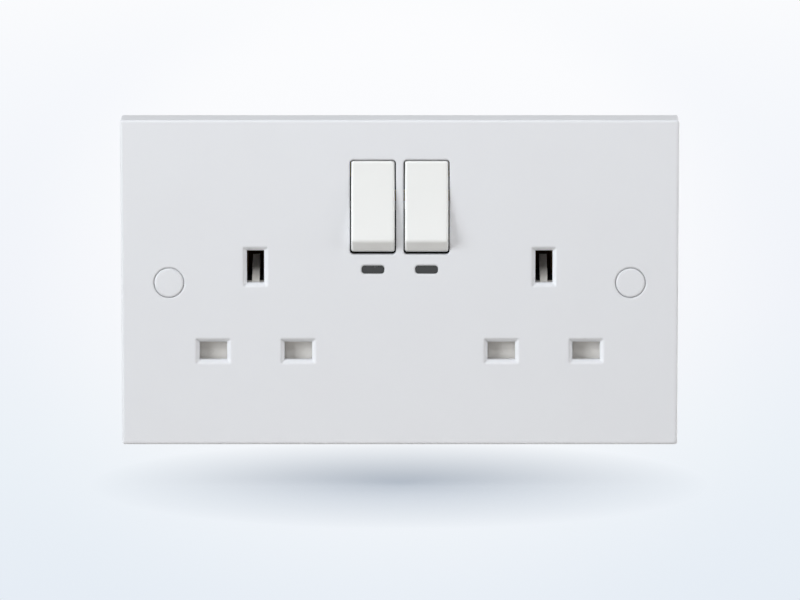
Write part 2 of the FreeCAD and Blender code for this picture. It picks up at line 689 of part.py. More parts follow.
def jaw(front, base, flare):
    """Outline of a sprung clip: two leaves about a pin, with flared lips, joined by a base."""
    half = []
    lip = f"{front} + 1.2"
    for up in (1, -1):
        near = f"{up} * jaw_half"
        far = f"{up} * (jaw_half + strip_thick)"
        inside = [(front, f"{near} + {up} * {flare}"), (lip, near), (base, near)]
        outside = [(front, f"{far} + {up} * {flare}"), (lip, far), (f"{base} + strip_thick", far)]
        half.append((inside, outside))
    (up_in, up_out), (low_in, low_out) = half
    return up_in + low_in[::-1] + low_out + up_out[::-1]


def flat_clip(piece, x):
    """A clip for one flat pin, its leaves above and below the pin."""
    points = [(y, f"{FLAT_Z} + {z}") for y, z in jaw(NEUTRAL_FRONT, LIVE_FRONT, "clip_flare")]
    piece.pad("YZ", [points], f"{x} - clip_half", f"{x} + clip_half")


def live_parts():
    """The live bar from its terminal to both fulcrums, and the two switched live contacts."""
    bar = Piece("live_bar")
    post_low = "(terminal_pitch * 1.5 - 3.5)"
    post_high = "(terminal_pitch * 1.5 + 0.5)"
    low, high = "rocker_height - strip_half", "rocker_height + strip_half"
    bar.pad("XZ", [box("-rocker_pitch / 2 - 2.5", low, post_high, high)], LIVE_FRONT, LIVE_BACK)
    bar.pad("XZ", [box(post_low, "-terminal_top", post_high, "rocker_height")], LIVE_FRONT, LIVE_BACK)
    far = "terminal_pitch * 1.5 + terminal_wide / 2"
    tab = box(post_low, "-terminal_top", far, "strip_thick - terminal_top")
    bar.pad("XZ", [tab], f"{NEUTRAL_BACK} + 2.3", LIVE_BACK)
    edges = [about(rocker_at(sign), "rocker_height", "2.5", "0.5") for sign in SIDES.values()]
    bar.pad("XZ", edges, FULCRUM, LIVE_FRONT)
    nose = [(FULCRUM, "rocker_height", "0.499")]
    for sign in SIDES.values():
        bar.pad("YZ", nose, f"{rocker_at(sign)} - 2.5", f"{rocker_at(sign)} + 2.5")

    tip_low = "(rocker_height + seesaw_arm - tip_size)"
    tip_front = f"({ARM_BACK} + tip_height + tip_gap / 2)"
    run = f"({tip_low} + tip_size / 2)"
    for name, sign in SIDES.items():
        contact = Piece(f"live_contact_{name}")
        x = pins(sign)[1]
        flat_clip(contact, x)
        if sign < 0:
            rise = [box(f"{x} - strip_half", FLAT_Z, f"{x} + strip_half", f"{run} + strip_half")]
            lanes = [box(x, f"{run} - strip_half", f"{rocker_at(sign)} + 2", f"{run} + strip_half")]
        else:
            turn = "(terminal_pitch * 2)"
            level = "(earth_height + 10)"
            rise = [box(f"{x} - strip_half", FLAT_Z, f"{x} + strip_half", f"{level} + strip_half")]
            lanes = [box(f"{turn} - strip_half", f"{level} - strip_half", x, f"{level} + strip_half")]
        contact.pad("XZ", rise, LIVE_FRONT, LIVE_BACK)
        contact.pad("XZ", lanes, LIVE_FRONT, LIVE_BACK)
        if sign > 0:
            upward = box(f"{turn} - strip_half", level, f"{turn} + strip_half", f"{run} + strip_half")
            contact.pad("XZ", [upward], LIVE_FRONT, LIVE_BACK)
            inward = box(f"{rocker_at(sign)} - 2", f"{run} - strip_half", turn, f"{run} + strip_half")
            contact.pad("XZ", [inward], LIVE_FRONT, LIVE_BACK)
        pad = about(rocker_at(sign), run, "tip_size / 2", "tip_size / 2")
        contact.pad("XZ", [pad], tip_front, LIVE_FRONT)


def neutral_bar():
    """The neutral strip along the front, with a clip at each end and a tab on its terminal."""
    bar = Piece("neutral_bar")
    far_left, far_right = pins(-1)[0], pins(1)[0]
    low = "(-neutral_top - strip_half * 1.8)"
    strip = box(f"{far_left} - clip_half", low, f"{far_right} + clip_half", "-neutral_top")
    bar.pad("XZ", [strip], NEUTRAL_FRONT, NEUTRAL_BACK)
    for x in (far_left, far_right):
        flat_clip(bar, x)
        tab = box(f"{x} - clip_half", f"{FLAT_Z} + jaw_half + clip_flare", f"{x} + clip_half", f"{low} + 0.5")
        bar.pad("XZ", [tab], NEUTRAL_FRONT, NEUTRAL_BACK)
    middle = "-terminal_pitch * 1.5"
    tab = box(f"{middle} - 3.5", f"{TERMINAL_LOW} + 1", f"{middle} + 3.5", f"{low} + 0.5")
    bar.pad("XZ", [tab], NEUTRAL_FRONT, NEUTRAL_BACK)


def earth_parts():
    """The earth bar behind everything, its clips and terminal tabs, and a strap to each fixing tube."""
    bar = Piece("earth_bar")
    ends = (f"{outlet(-1)} - jaw_half", f"{outlet(1)} + jaw_half")
    strip = box(ends[0], "earth_height - 2.5", ends[1], "earth_height + 2.5")
    bar.pad("XZ", [strip], EARTH_FRONT, EARTH_BACK)
    mouth = "(tongue_back + 0.6)"
    for sign in SIDES.values():
        points = [(f"{outlet(sign)} + {x}", y) for y, x in jaw(mouth, EARTH_FRONT, "0")]
        bar.pad("XY", [points], "earth_height - 3.6", "earth_height + 3.6")
        x = f"({sign} * terminal_pitch / 2)"
        leg = box(f"{x} - 2.5", "-terminal_top", f"{x} + 2.5", "earth_height")
        bar.pad("XZ", [leg], EARTH_FRONT, EARTH_BACK)
        half = "terminal_wide / 2"
        tab = box(f"{x} - {half}", "-terminal_top", f"{x} + {half}", "strip_thick - terminal_top")
        bar.pad("XZ", [tab], f"{NEUTRAL_BACK} + 2.3", EARTH_BACK)

    for name, sign in SIDES.items():
        strap = Piece(f"earth_strap_{name}")
        near = f"{outlet(sign)} + {sign} * (jaw_half + strip_thick)"
        far = fixing_at(sign)
        strap.pad("XZ", [strap_run(sign, near, far)], TUBE_BACK, f"{TUBE_BACK} + strap_thick")
        strap.pad("XZ", [(far, "0", "strap_round")], TUBE_BACK, f"{TUBE_BACK} + strap_thick")
        fold = f"({near} + {sign} * strap_thick)"
        strap.pad("XZ", [strap_run(sign, near, fold)], TUBE_BACK, f"{mouth} + 5")
        strap.cut("XZ", [(far, "0", "fixing_hole / 2 - 0.1")], f"{TUBE_BACK} - 1", "1")


TERMINALS = {"neutral": -1.5, "earth_left": -0.5, "earth_right": 0.5, "live": 1.5}


def terminals():
    """Four tunnel terminals in a row, open below, with their clamp screws backed out."""
    screws = []
    bore = f"({NEUTRAL_BACK} + bore_back)"
    middle = "(-terminal_top - terminal_tall / 2)"
    for name, step in TERMINALS.items():
        block = Piece(f"terminal_{name}")
        x = f"({step} * terminal_pitch)"
        body = box(f"{x} - terminal_wide / 2", TERMINAL_LOW, f"{x} + terminal_wide / 2", "-terminal_top")
        block.pad("XZ", [body], NEUTRAL_BACK, BLOCK_BACK)
        block.cut("XY", [(x, bore, "bore_diameter / 2")], TERMINAL_LOW, "-terminal_top")
        block.cut("XZ", [(x, middle, "2")], bore, BLOCK_BACK)

        screw = Piece(f"terminal_screw_{name}", kept=False)
        tip = f"({bore} + bore_diameter / 2 + 0.2)"
        seat = f"({BLOCK_BACK} + 2.6)"
        screw.pad("XZ", [(x, middle, "1.95")], tip, f"{seat} + 0.5")
        screw.pad("XZ", [(x, middle, "3")], seat, f"{seat} + 2.4")
        screw.cut("XZ", [about(x, middle, "3.2", "0.5")], f"{seat} + 1.2", f"{seat} + 3")
        screws.append(screw.body)
    group("terminal_screws", screws)


def group(label, members):
    """Keeps a set of the same screw together as one sub-part."""
    made = doc.addObject("Part::Compound", label)
    made.Label = label
    made.Links = members
    subparts.append(made)


def screws():
    """The two fixing screws to the wall box, and the four that hold the housing to the plate."""
    fixing = []
    for name, sign in SIDES.items():
        screw = Piece(f"fixing_screw_{name}", kept=False)
        x = fixing_at(sign)
        front = "(-fixing_seat - head_height)"
        screw.pad("XZ", [(x, "0", "head_diameter / 2")], front, "-fixing_seat")
        screw.pad("XZ", [(x, "0", "neck_diameter / 2")], "-fixing_seat - 0.5", "0.5")
        screw.pad("XZ", [(x, "0", "thread_diameter / 2")], "0.3", "fixing_length - fixing_seat")
        screw.cut("XZ", [about(x, "0", "head_diameter", "0.5")], f"{front} - 1", f"{front} + 1.1")
        tip = size("fixing_length") - size("fixing_seat")
        screw.soften("Chamfer", "0.5", flat_on("Y", tip))
        fixing.append(screw.body)
    group("fixing_screws", fixing)

    holding = []
    for number, (x, z) in enumerate(boss_places(), start=1):
        screw = Piece(f"housing_screw_{number}", kept=False)
        screw.pad("XZ", [(x, z, "2.4")], "ear_back - 1.8", "ear_back")
        screw.pad("XZ", [(x, z, "1.25")], f"{INNER} + 0.3", "ear_back - 1.5")
        screw.cut("XZ", [about(x, z, "1.5", "0.3")], "ear_back - 0.9", "ear_back + 1")
        screw.cut("XZ", [about(x, z, "0.3", "1.5")], "ear_back - 0.9", "ear_back + 1")
        holding.append(screw.body)
    group("housing_screws", holding)


def rear_housing():
    """The dark rear moulding: stepped at its corners, with cells, wells, towers and wire mouths."""
    housing = Piece("rear_housing")

    def shape(inset):
        """Outline with notched upper and lower corners and a bay below for the wires."""
        side = f"(housing_wide / 2 - {inset})"
        top = f"(housing_tall / 2 - {inset})"
        ear = f"(housing_wide / 2 - ear_wide - {inset})"
        step = f"(housing_tall / 2 - ear_tall - {inset})"
        bay = f"(bay_half + {inset})"
        floor = f"({BAY_FLOOR} + {inset})"
        lower = [(bay, floor), (bay, f"-{top}"), (ear, f"-{top}"), (ear, f"-{step}"), (side, f"-{step}")]
        right = lower + [(side, step), (ear, step), (ear, top)]
        return right + [(f"-{x}", z) for x, z in reversed(right)]

    housing.pad("XZ", [shape("0")], HOUSING_FRONT, BACK)
    middle = "(-terminal_top - terminal_tall / 2)"
    collars = [(f"{step} * terminal_pitch", middle, "4.6") for step in TERMINALS.values()]
    ears = []
    for sx in (-1, 1):
        for sz in (-1, 1):
            x = f"{sx} * (housing_wide / 2 - ear_wide / 2 - 0.5)"
            z = f"{sz} * (housing_tall / 2 - ear_tall / 2 - 0.5)"
            ears.append(about(x, z, "ear_wide / 2 + 0.5", "ear_tall / 2 + 0.5"))
    housing.pad("XZ", ears, HOUSING_FRONT, "ear_back")
    doc.recompute()
    housing.soften("Fillet", "1", flat_on("Y", housing.body.Shape.BoundBox.YMax))
    housing.pad("XZ", collars, f"{BACK} - 0.5", f"{BACK} + 0.7")
    housing.cut("XZ", [about("0", "rocker_height", "28", "7")], f"{BACK} - 0.4", BACK)
    housing.cut("XZ", [shape("housing_wall")], HOUSING_FRONT, FLOOR)

    wall = "(housing_wall * 0.8)"
    cell_side = "(rocker_pitch / 2 + window_wide / 2)"
    cell_low = f"(rocker_height - {ROCKER_RADIUS} + 1)"
    lid = f"({LIVE_FRONT} - 0.4)"
    top = "housing_tall / 2 - 0.5"
    cells = [box(f"-{wall} / 2", cell_low, f"{wall} / 2", top)]
    for sign in SIDES.values():
        edge = f"{sign} * ({cell_side} + {wall} / 2 + 0.1)"
        cells.append(box(f"{edge} - {wall} / 2", cell_low, f"{edge} + {wall} / 2", top))
    housing.pad("XZ", cells, HOUSING_FRONT, lid)
    outer = f"({cell_side} + {wall} + 0.1)"
    sill = box(f"-{outer}", f"{cell_low} - {wall}", outer, f"{cell_low} + 0.1")
    housing.pad("XZ", [sill], HOUSING_FRONT, lid)
    stop = "(rocker_height - seesaw_arm + 1.2)"
    housing.pad("XZ", [box(f"-{outer}", f"{stop} - 0.7", outer, f"{stop} + 0.7")], f"{ARM_BACK} + 0.25", lid)
    posts = []
    for step in (-1, 0, 1):
        edge = f"{step} * ({cell_side} + {wall} / 2 + 0.1)"
        posts.append(about(edge, "rocker_height", f"{wall} / 2", "pivot_radius - 0.1"))
    housing.pad("XZ", posts, f"{PIVOT} + pivot_radius + pivot_clear", f"{HOUSING_FRONT} + 1")

    rests = []
    for sign in SIDES.values():
        for x in pins(sign):
            rests.append(about(x, FLAT_Z, "clip_half - 0.4", "jaw_half"))
    rests.append(about("0", "rocker_height", "rocker_pitch / 2 + 1", "strip_half - 0.8"))
    rests.append(about(pins(-1)[1], "earth_height + 9", "strip_half - 0.8", "3"))
    rests.append(about("terminal_pitch * 3", "earth_height + 10", "3", "strip_half - 0.8"))
    rests.append(about("terminal_pitch * 1.5 - 1.5", "earth_height + 6", "strip_half - 0.8", "3"))
    housing.pad("XZ", rests, LIVE_BACK, f"{FLOOR} + 0.5")
    keeps = [about("0", "earth_height", "2", "2")]
    for sign in SIDES.values():
        keeps.append(about(outlet(sign), "earth_height", "2", "2"))
    housing.pad("XZ", keeps, EARTH_BACK, f"{FLOOR} + 0.5")

    fences = []
    for sign in SIDES.values():
        for x in pins(sign):
            for side in (-1, 1):
                beside = f"{x} + {side} * (clip_half + 0.3 + {wall} / 2)"
                fences.append(about(beside, FLAT_Z, f"{wall} / 2", "5"))
    housing.pad("XZ", fences, f"{NEUTRAL_BACK} + 1.2", f"{FLOOR} + 0.5")
    shelves = []
    for sign in SIDES.values():
        for up in (-1, 1):
            level = f"earth_height + {up} * (3.9 + {wall} / 2)"
            shelves.append(about(outlet(sign), level, "4", f"{wall} / 2"))
    housing.pad("XZ", shelves, "tongue_back + 1", f"{FLOOR} + 0.5")

    towers = []
    screw_wells = []
    mouths = []
    half = "terminal_wide / 2"
    for step in TERMINALS.values():
        x = f"({step} * terminal_pitch)"
        towers.append(box(f"{x} - {half}", BAY_FLOOR, f"{x} + {half}", "-terminal_top - 0.3"))
        screw_wells.append((x, middle, "3.5"))
        mouths.append((x, f"{NEUTRAL_BACK} + bore_back", "bore_diameter / 2 + 0.5"))
    housing.pad("XZ", towers, BLOCK_BACK, f"{FLOOR} + 0.5")
    walls = []
    for step in (-2, -1, 0, 1, 2):
        x = f"{step} * terminal_pitch"
        walls.append(box(f"{x} - 0.6", BAY_FLOOR, f"{x} + 0.6", "-neutral_top - 0.5"))
    housing.pad("XZ", walls, NEUTRAL_BACK, f"{FLOOR} + 0.5")
    housing.cut("XZ", screw_wells, f"{BLOCK_BACK} - 1", f"{BACK} + 2")
    housing.cut("XY", mouths, f"{BAY_FLOOR} - 1", TERMINAL_LOW)
    tab_room = box("-terminal_pitch * 1.5 - 4", BAY_FLOOR, "-terminal_pitch * 1.5 + 4", "-terminal_top")
    housing.cut("XZ", [tab_room], f"{HOUSING_FRONT} - 1", NEUTRAL_BACK)

    holes = [(x, z, "1.5") for x, z in boss_places()]
    housing.cut("XZ", holes, f"{HOUSING_FRONT} - 1", "ear_back + 1")
    housing.cut("XZ", [(x, z, "2.7") for x, z in boss_places()], "ear_back - 1.8", "ear_back + 1")
    way_high = "(strap_low + strap_high) / 2"
    way_half = "(strap_high - strap_low) / 2 + 0.3"
    gates = []
    for sign in SIDES.values():
        gates.append(about(f"{sign} * housing_wide / 2", way_high, "housing_wall + 1", way_half))
    housing.cut("XZ", gates, f"{HOUSING_FRONT} - 1", f"{TUBE_BACK} + strap_thick + 0.2")


front_plate()
screw_caps()
rockers()
switch_contacts()
shutters()
indicators()
live_parts()
neutral_bar()
earth_parts()
terminals()
screws()
rear_housing()
doc.recompute()

failed = [thing.Label for thing in doc.Objects if "Invalid" in thing.State or "Error" in thing.State]
for thing in subparts:
    if thing.Shape.isNull() or not thing.Shape.isValid() or not thing.Shape.Solids:
        failed.append(thing.Label)
if failed:
    raise RuntimeError(f"not built: {failed}")

os.makedirs("parts", exist_ok=True)
for thing in subparts:
    thing.Shape.exportStep(os.path.join("parts", f"{thing.Label}.step"))
    bounds = thing.Shape.BoundBox
    print(f"{thing.Label}: {len(thing.Shape.Solids)} solid, {thing.Shape.Volume:.1f} mm3, "
          f"x {bounds.XMin:.2f} {bounds.XMax:.2f}, y {bounds.YMin:.2f} {bounds.YMax:.2f}, "
          f"z {bounds.ZMin:.2f} {bounds.ZMax:.2f}")
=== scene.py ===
"""Two-gang switched wall socket, dressed for its portrait.

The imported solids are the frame, and each class below is one sub-assembly of the socket. A class makes the
pieces that are finer than the solids, such as wound springs, cut threads, lamp electrodes and moulded marks,
hangs them on the body that carries them, and gives every surface its finish. Sizes are millimetres, and turn
to metres where a mesh is made. +X runs to the right as one faces the socket, +Z up and +Y into the wall,
whose face lies at y = 0.
"""

import json
import logging
import math
from collections.abc import Sequence
from dataclasses import dataclass, field
from enum import Enum

import bmesh
import bpy
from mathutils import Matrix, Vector


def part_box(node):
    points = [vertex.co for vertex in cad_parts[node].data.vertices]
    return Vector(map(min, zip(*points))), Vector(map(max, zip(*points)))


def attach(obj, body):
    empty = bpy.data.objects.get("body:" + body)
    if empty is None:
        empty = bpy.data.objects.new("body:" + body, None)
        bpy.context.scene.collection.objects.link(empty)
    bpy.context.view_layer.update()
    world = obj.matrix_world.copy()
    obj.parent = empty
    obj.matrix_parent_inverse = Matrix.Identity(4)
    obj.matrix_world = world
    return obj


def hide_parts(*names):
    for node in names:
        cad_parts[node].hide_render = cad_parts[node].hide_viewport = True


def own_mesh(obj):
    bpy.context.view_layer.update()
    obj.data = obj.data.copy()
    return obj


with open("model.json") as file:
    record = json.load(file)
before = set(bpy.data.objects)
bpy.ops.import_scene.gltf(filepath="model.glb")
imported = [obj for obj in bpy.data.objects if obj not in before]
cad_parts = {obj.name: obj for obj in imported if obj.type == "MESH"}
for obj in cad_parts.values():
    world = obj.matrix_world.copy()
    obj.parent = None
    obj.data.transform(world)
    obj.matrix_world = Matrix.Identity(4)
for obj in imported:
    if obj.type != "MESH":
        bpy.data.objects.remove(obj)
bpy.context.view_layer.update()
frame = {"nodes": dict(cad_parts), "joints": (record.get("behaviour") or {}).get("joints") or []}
MM = 0.001
# Most of a noise texture lies between these two values.
NOISE_LOW = 0.3
NOISE_HIGH = 0.7
# Rays that look for the neighbouring face where an edge is shaded as rounded.
EDGE_SAMPLES = 6
# A mesh edge that turns by more than this stays crisp, degrees.
CRISP_ANGLE = 40.0
log = logging.getLogger("socket")

Colour = tuple[float, float, float, float]
Tree = bpy.types.NodeTree
Node = bpy.types.Node
Socket = bpy.types.NodeSocket


class Side(Enum):
    """The two halves of the socket, as one faces it."""

    LEFT = "left"
    RIGHT = "right"


class Lay(Enum):
    """Which way the fine lines of a metal run, as the axis that they are drawn out along."""

    ALONG_X = (1, 0, 0)
    ALONG_Z = (0, 0, 1)
    EVEN = (0, 0, 0)


def linear(code: str) -> Colour:
    """Turns an sRGB colour to linear light.

    Args:
        code: six hex digits.

    Returns:
        Red, green, blue and an alpha of one.
    """
    shares = [int(code[start:start + 2], 16) / 255 for start in (0, 2, 4)]
    red, green, blue = (s / 12.92 if s <= 0.04045 else ((s + 0.055) / 1.055) ** 2.4 for s in shares)
    return red, green, blue, 1.0


def add(tree: Tree, kind: str, inputs: dict | None = None, **settings: object) -> Node:
    """Adds a node with its settings and with what goes into its sockets.

    Args:
        tree: the node tree of a material or of the world.
        kind: the node's type.
        inputs: a socket's name or number, to its value or to the output that is linked to it.
        settings: the node's own properties.

    Returns:
        The node.
    """
    node = tree.nodes.new(kind)
    for name, value in settings.items():
        setattr(node, name, value)
    feed(tree, node, inputs or {})
    return node


def feed(tree: Tree, node: Node, inputs: dict) -> None:
    """Sets or links a node's sockets.

    Args:
        tree: the node tree.
        node: a node in it.
        inputs: a socket's name or number, to its value or to the output that is linked to it.
    """
    for socket, value in inputs.items():
        if isinstance(value, Socket):
            tree.links.new(value, node.inputs[socket])
        else:
            node.inputs[socket].default_value = value


def per_metre(length: float) -> float:
    """The texture scale whose features are about this many millimetres across."""
    return 1 / (length * MM)


@dataclass(frozen=True)
class Finish:
    """A material: what it is, how its surface was made, and the slot of the record that it stands for.

    Attributes:
        name: the real material.
        slot: the record's name for it; not used.
        colour: its sRGB colour, as six hex digits.
        roughness: how far its surface spreads a reflection, from nought to one.
        ior: its refractive index, which a metal leaves alone.
    """

    name: str
    slot: str
    colour: str
    roughness: float
    ior: float = 1.5

    def material(self) -> bpy.types.Material:
        """Makes the material, the first time that it is asked for.

        Returns:
            The material.
        """
        made = bpy.data.materials.get(self.name)
        if made is None:
            made = bpy.data.materials.new(self.name)
            made.use_nodes = True
            self.shade(made.node_tree, made.node_tree.nodes["Principled BSDF"])
        return made

    def shade(self, tree: Tree, shader: Node) -> None:
        """Sets up the shader.

        Args:
            tree: the material's node tree.
            shader: its principled shader.
        """
        raise NotImplementedError


@dataclass(frozen=True)
class Moulding(Finish):
    """A moulded plastic: one colour with a faint flow in it, a soft shine, and the skin of its tool.

    Attributes:
        flow_colour: the colour that the moulding drifts to.
        flow_size: width of that drift, mm.
        grain: width of the skin's dimples, mm.
        relief: their depth, mm.
        polish_swing: how far the roughness goes either way, from one patch to the next.
        softness: radius that the tool leaves on a sharp edge, mm.
    """

    flow_colour: str = "FFFFFF"
    flow_size: float = 14.0
    grain: float = 0.8
    relief: float = 0.002
    polish_swing: float = 0.04
    softness: float = 0.3

    def shade(self, tree: Tree, shader: Node) -> None:
        """Puts flow in the colour, patches in the polish, dimples in the skin and a radius on each edge.

        Args:
            tree: the material's node tree.
            shader: its principled shader.
        """
        place = add(tree, "ShaderNodeTexCoord").outputs["Object"]
        flow = add(tree, "ShaderNodeTexNoise", {
            "Vector": place, "Scale": per_metre(self.flow_size), "Detail": 3.0})
        tint = add(tree, "ShaderNodeMix", {
            0: flow.outputs["Fac"], 6: linear(self.colour), 7: linear(self.flow_colour)}, data_type="RGBA")
        polish = add(tree, "ShaderNodeMapRange", {
            "Value": flow.outputs["Fac"], "From Min": NOISE_LOW, "From Max": NOISE_HIGH,
            "To Min": self.roughness - self.polish_swing, "To Max": self.roughness + self.polish_swing})
        skin = add(tree, "ShaderNodeTexNoise", {
            "Vector": place, "Scale": per_metre(self.grain), "Detail": 2.0})
        edges = add(tree, "ShaderNodeBevel", {"Radius": self.softness * MM}, samples=EDGE_SAMPLES)
        bump = add(tree, "ShaderNodeBump", {
            "Height": skin.outputs["Fac"], "Distance": self.relief * MM, "Normal": edges.outputs["Normal"]})
        feed(tree, shader, {"Base Color": tint.outputs[2], "Roughness": polish.outputs["Result"],
                            "Normal": bump.outputs["Normal"], "IOR": self.ior})


@dataclass(frozen=True)
class Metal(Finish):
    """A metal: its own colour, clouds of tarnish, and the fine lines that its making left.

    Attributes:
        tarnish: the colour of the duller clouds.
        cloud: width of a cloud, mm.
        lay: which way the lines run.
        line: distance between lines, mm.
        run: length of a line, mm.
        relief: depth of a line, mm.
        bright: roughness of the smoothest lines, over the metal's own.
        dull: roughness of the roughest.
    """

    tarnish: str = "808080"
    cloud: float = 4.0
    lay: Lay = Lay.EVEN
    line: float = 0.25
    run: float = 6.0
    relief: float = 0.004
    bright: float = 0.8
    dull: float = 1.3

    def shade(self, tree: Tree, shader: Node) -> None:
        """Puts clouds in the colour, and lines that both roughen and groove the surface.

        Args:
            tree: the material's node tree.
            shader: its principled shader.
        """
        place = add(tree, "ShaderNodeTexCoord").outputs["Object"]
        clouds = add(tree, "ShaderNodeTexNoise", {
            "Vector": place, "Scale": per_metre(self.cloud), "Detail": 4.0})
        tint = add(tree, "ShaderNodeMix", {
            0: clouds.outputs["Fac"], 6: linear(self.colour), 7: linear(self.tarnish)}, data_type="RGBA")
        stretch = [per_metre(self.run if drawn else self.line) for drawn in self.lay.value]
        drawn_out = add(tree, "ShaderNodeMapping", {"Vector": place, "Scale": stretch})
        lines = add(tree, "ShaderNodeTexNoise", {
            "Vector": drawn_out.outputs["Vector"], "Scale": 1.0, "Detail": 3.0})
        polish = add(tree, "ShaderNodeMapRange", {
            "Value": lines.outputs["Fac"], "From Min": NOISE_LOW, "From Max": NOISE_HIGH,
            "To Min": self.roughness * self.bright, "To Max": self.roughness * self.dull})
        bump = add(tree, "ShaderNodeBump", {"Height": lines.outputs["Fac"], "Distance": self.relief * MM})
        feed(tree, shader, {"Base Color": tint.outputs[2], "Roughness": polish.outputs["Result"],
                            "Normal": bump.outputs["Normal"], "Metallic": 1.0})


@dataclass(frozen=True)
class ClearBody(Finish):
    """Something that light goes through: lamp glass or a tinted lens, with a slightly wavy skin.

    Attributes:
        through: share of the light that goes in and not back.
        wave: width of the skin's waves, mm.
        relief: their depth, mm.
        swing: how far the roughness goes either way, as a share of it.
    """

    through: float = 1.0
    wave: float = 1.5
    relief: float = 0.002
    swing: float = 0.3

    def shade(self, tree: Tree, shader: Node) -> None:
        """Lets light through, with waves in the skin and patches in its polish.

        Args:
            tree: the material's node tree.
            shader: its principled shader.
        """
        place = add(tree, "ShaderNodeTexCoord").outputs["Object"]
        waves = add(tree, "ShaderNodeTexNoise", {
            "Vector": place, "Scale": per_metre(self.wave), "Detail": 1.0})
        polish = add(tree, "ShaderNodeMapRange", {
            "Value": waves.outputs["Fac"], "To Min": self.roughness * (1 - self.swing),
            "To Max": self.roughness * (1 + self.swing)})
        bump = add(tree, "ShaderNodeBump", {"Height": waves.outputs["Fac"], "Distance": self.relief * MM})
        feed(tree, shader, {"Base Color": linear(self.colour), "Roughness": polish.outputs["Result"],
                            "Normal": bump.outputs["Normal"], "IOR": self.ior,
                            "Transmission Weight": self.through})


@dataclass(frozen=True)
class BandedLacquer(Finish):
    """The lacquer of a small resistor: a tan coat with colour bands round it.

    Attributes:
        bands: the bands' colours, from the top down.
        top: height of the first band, mm.
        pitch: distance from band to band, mm.
        band: height of a band, mm.
        grain: width of the lacquer's ripples, mm.
        relief: their depth, mm.
    """

    bands: tuple[str, ...] = ("7A4A2B", "1E1D1D", "D8B43C", "B08A3A")
    top: float = -1.2
    pitch: float = 1.2
    band: float = 0.6
    grain: float = 0.7
    relief: float = 0.02

    def shade(self, tree: Tree, shader: Node) -> None:
        """Paints the coat and its bands by one ramp down the body.

        Args:
            tree: the material's node tree.
            shader: its principled shader.
        """
        place = add(tree, "ShaderNodeTexCoord").outputs["Object"]
        height = add(tree, "ShaderNodeSeparateXYZ", {"Vector": place}).outputs["Z"]
        reach = self.pitch * len(self.bands)
        down = add(tree, "ShaderNodeMapRange", {"Value": height, "From Min": self.top * MM,
                                                "From Max": (self.top - reach) * MM})
        ramp = add(tree, "ShaderNodeValToRGB", {"Fac": down.outputs["Result"]})
        ramp.color_ramp.interpolation = "CONSTANT"
        stops = ramp.color_ramp.elements
        stops[0].color = linear(self.colour)
        stops[1].color = linear(self.colour)
        for number, code in enumerate(self.bands):
            start = (number * self.pitch + (self.pitch - self.band) / 2) / reach
            stops.new(start).color = linear(code)
            stops.new(start + self.band / reach).color = linear(self.colour)
        ripples = add(tree, "ShaderNodeTexNoise", {"Vector": place, "Scale": per_metre(self.grain)})
        bump = add(tree, "ShaderNodeBump", {"Height": ripples.outputs["Fac"], "Distance": self.relief * MM})
        feed(tree, shader, {"Base Color": ramp.outputs["Color"], "Roughness": self.roughness,
                            "Normal": bump.outputs["Normal"], "IOR": self.ior})


# Urea-formaldehyde pressed in a polished tool: dense and opaque, an even cool white with a soft, wide shine.
UREA = Moulding("urea_formaldehyde_moulding", "white_moulding", "E3E4E8", 0.42, 1.55, flow_colour="E4E6EA",
                softness=0.9)
# Polycarbonate from a finer tool: a shade brighter and less blue than the plate, with as soft a shine.
ROCKER_PC = Moulding("polycarbonate_moulding", "rocker_moulding", "ECEDEC", 0.45, 1.58, flow_colour="EEEFEE",
                     grain=0.6, relief=0.0015, softness=0.8)
# Unfilled nylon from a polished tool: a plain milky white with a waxy sheen.
NYLON = Moulding("natural_nylon_moulding", "shutter_moulding", "E8E5DF", 0.3, 1.53, flow_colour="EBE8E3",
                 grain=0.5, relief=0.004)
# Acetal, the slippery plastic of sliding pins: pale grey with a greasy sheen.
ACETAL = Moulding("acetal_pin", "plunger_moulding", "C3C6CA", 0.35, 1.48, flow_colour="CBCDD0", flow_size=3.0,
                  grain=0.4)
# Glass-filled nylon from a spark-eroded tool: black and dry, with a grain that breaks up every reflection.
BLACK_NYLON = Moulding("glass_filled_nylon_moulding", "black_moulding", "1D1E20", 0.55, 1.53,
                       flow_colour="242527", grain=0.55, relief=0.018, polish_swing=0.08)
# Smoked polycarbonate: nearly opaque grey, smooth and flush with the face.
SMOKED_LENS = ClearBody("smoked_polycarbonate", "lens", "343433", 0.25, 1.58, through=0.15)
# Soda glass blown round the electrodes: clear, with the slight waves of a drawn tube.
LAMP_GLASS = ClearBody("soda_glass", "lamp_glass", "F7F1EA", 0.02, 1.52)
# Dipped resistor lacquer: tan and satin, pulled into ripples as it dried.
LACQUER = BandedLacquer("dipped_lacquer", "resistor", "B9936A", 0.4)
# Copper wire dipped in tin: pale and dull, with small clouds where the tin ran thin.
TINNED_COPPER = Metal("tinned_copper_wire", "tinned_wire", "C9C9C5", 0.38, tarnish="A9A9A4", cloud=1.5,
                      relief=0.002)
# Brass strip as rolled and pressed: warm yellow, with faint rolling lines and brown where it was handled.
ROLLED_BRASS = Metal("rolled_brass_strip", "brass", "E3C27A", 0.3, tarnish="B98F4A", lay=Lay.ALONG_X)
# Phosphor bronze strip for the earth bar: springy and dull, in a dark brown that is painted shade for the
# darkness deep in the earth slots.
DARK_SHADE_BRONZE = Metal("phosphor_bronze_painted_dark_as_shade", "brass", "4E3B29", 0.45, tarnish="33271C", lay=Lay.ALONG_X)
# Brass cut from bar: brighter than strip, with the marks of the saw down its sides.
CUT_BRASS = Metal("machined_brass", "terminal_brass", "E0BC6E", 0.26, tarnish="C79C50", lay=Lay.ALONG_Z,
                  line=0.35)
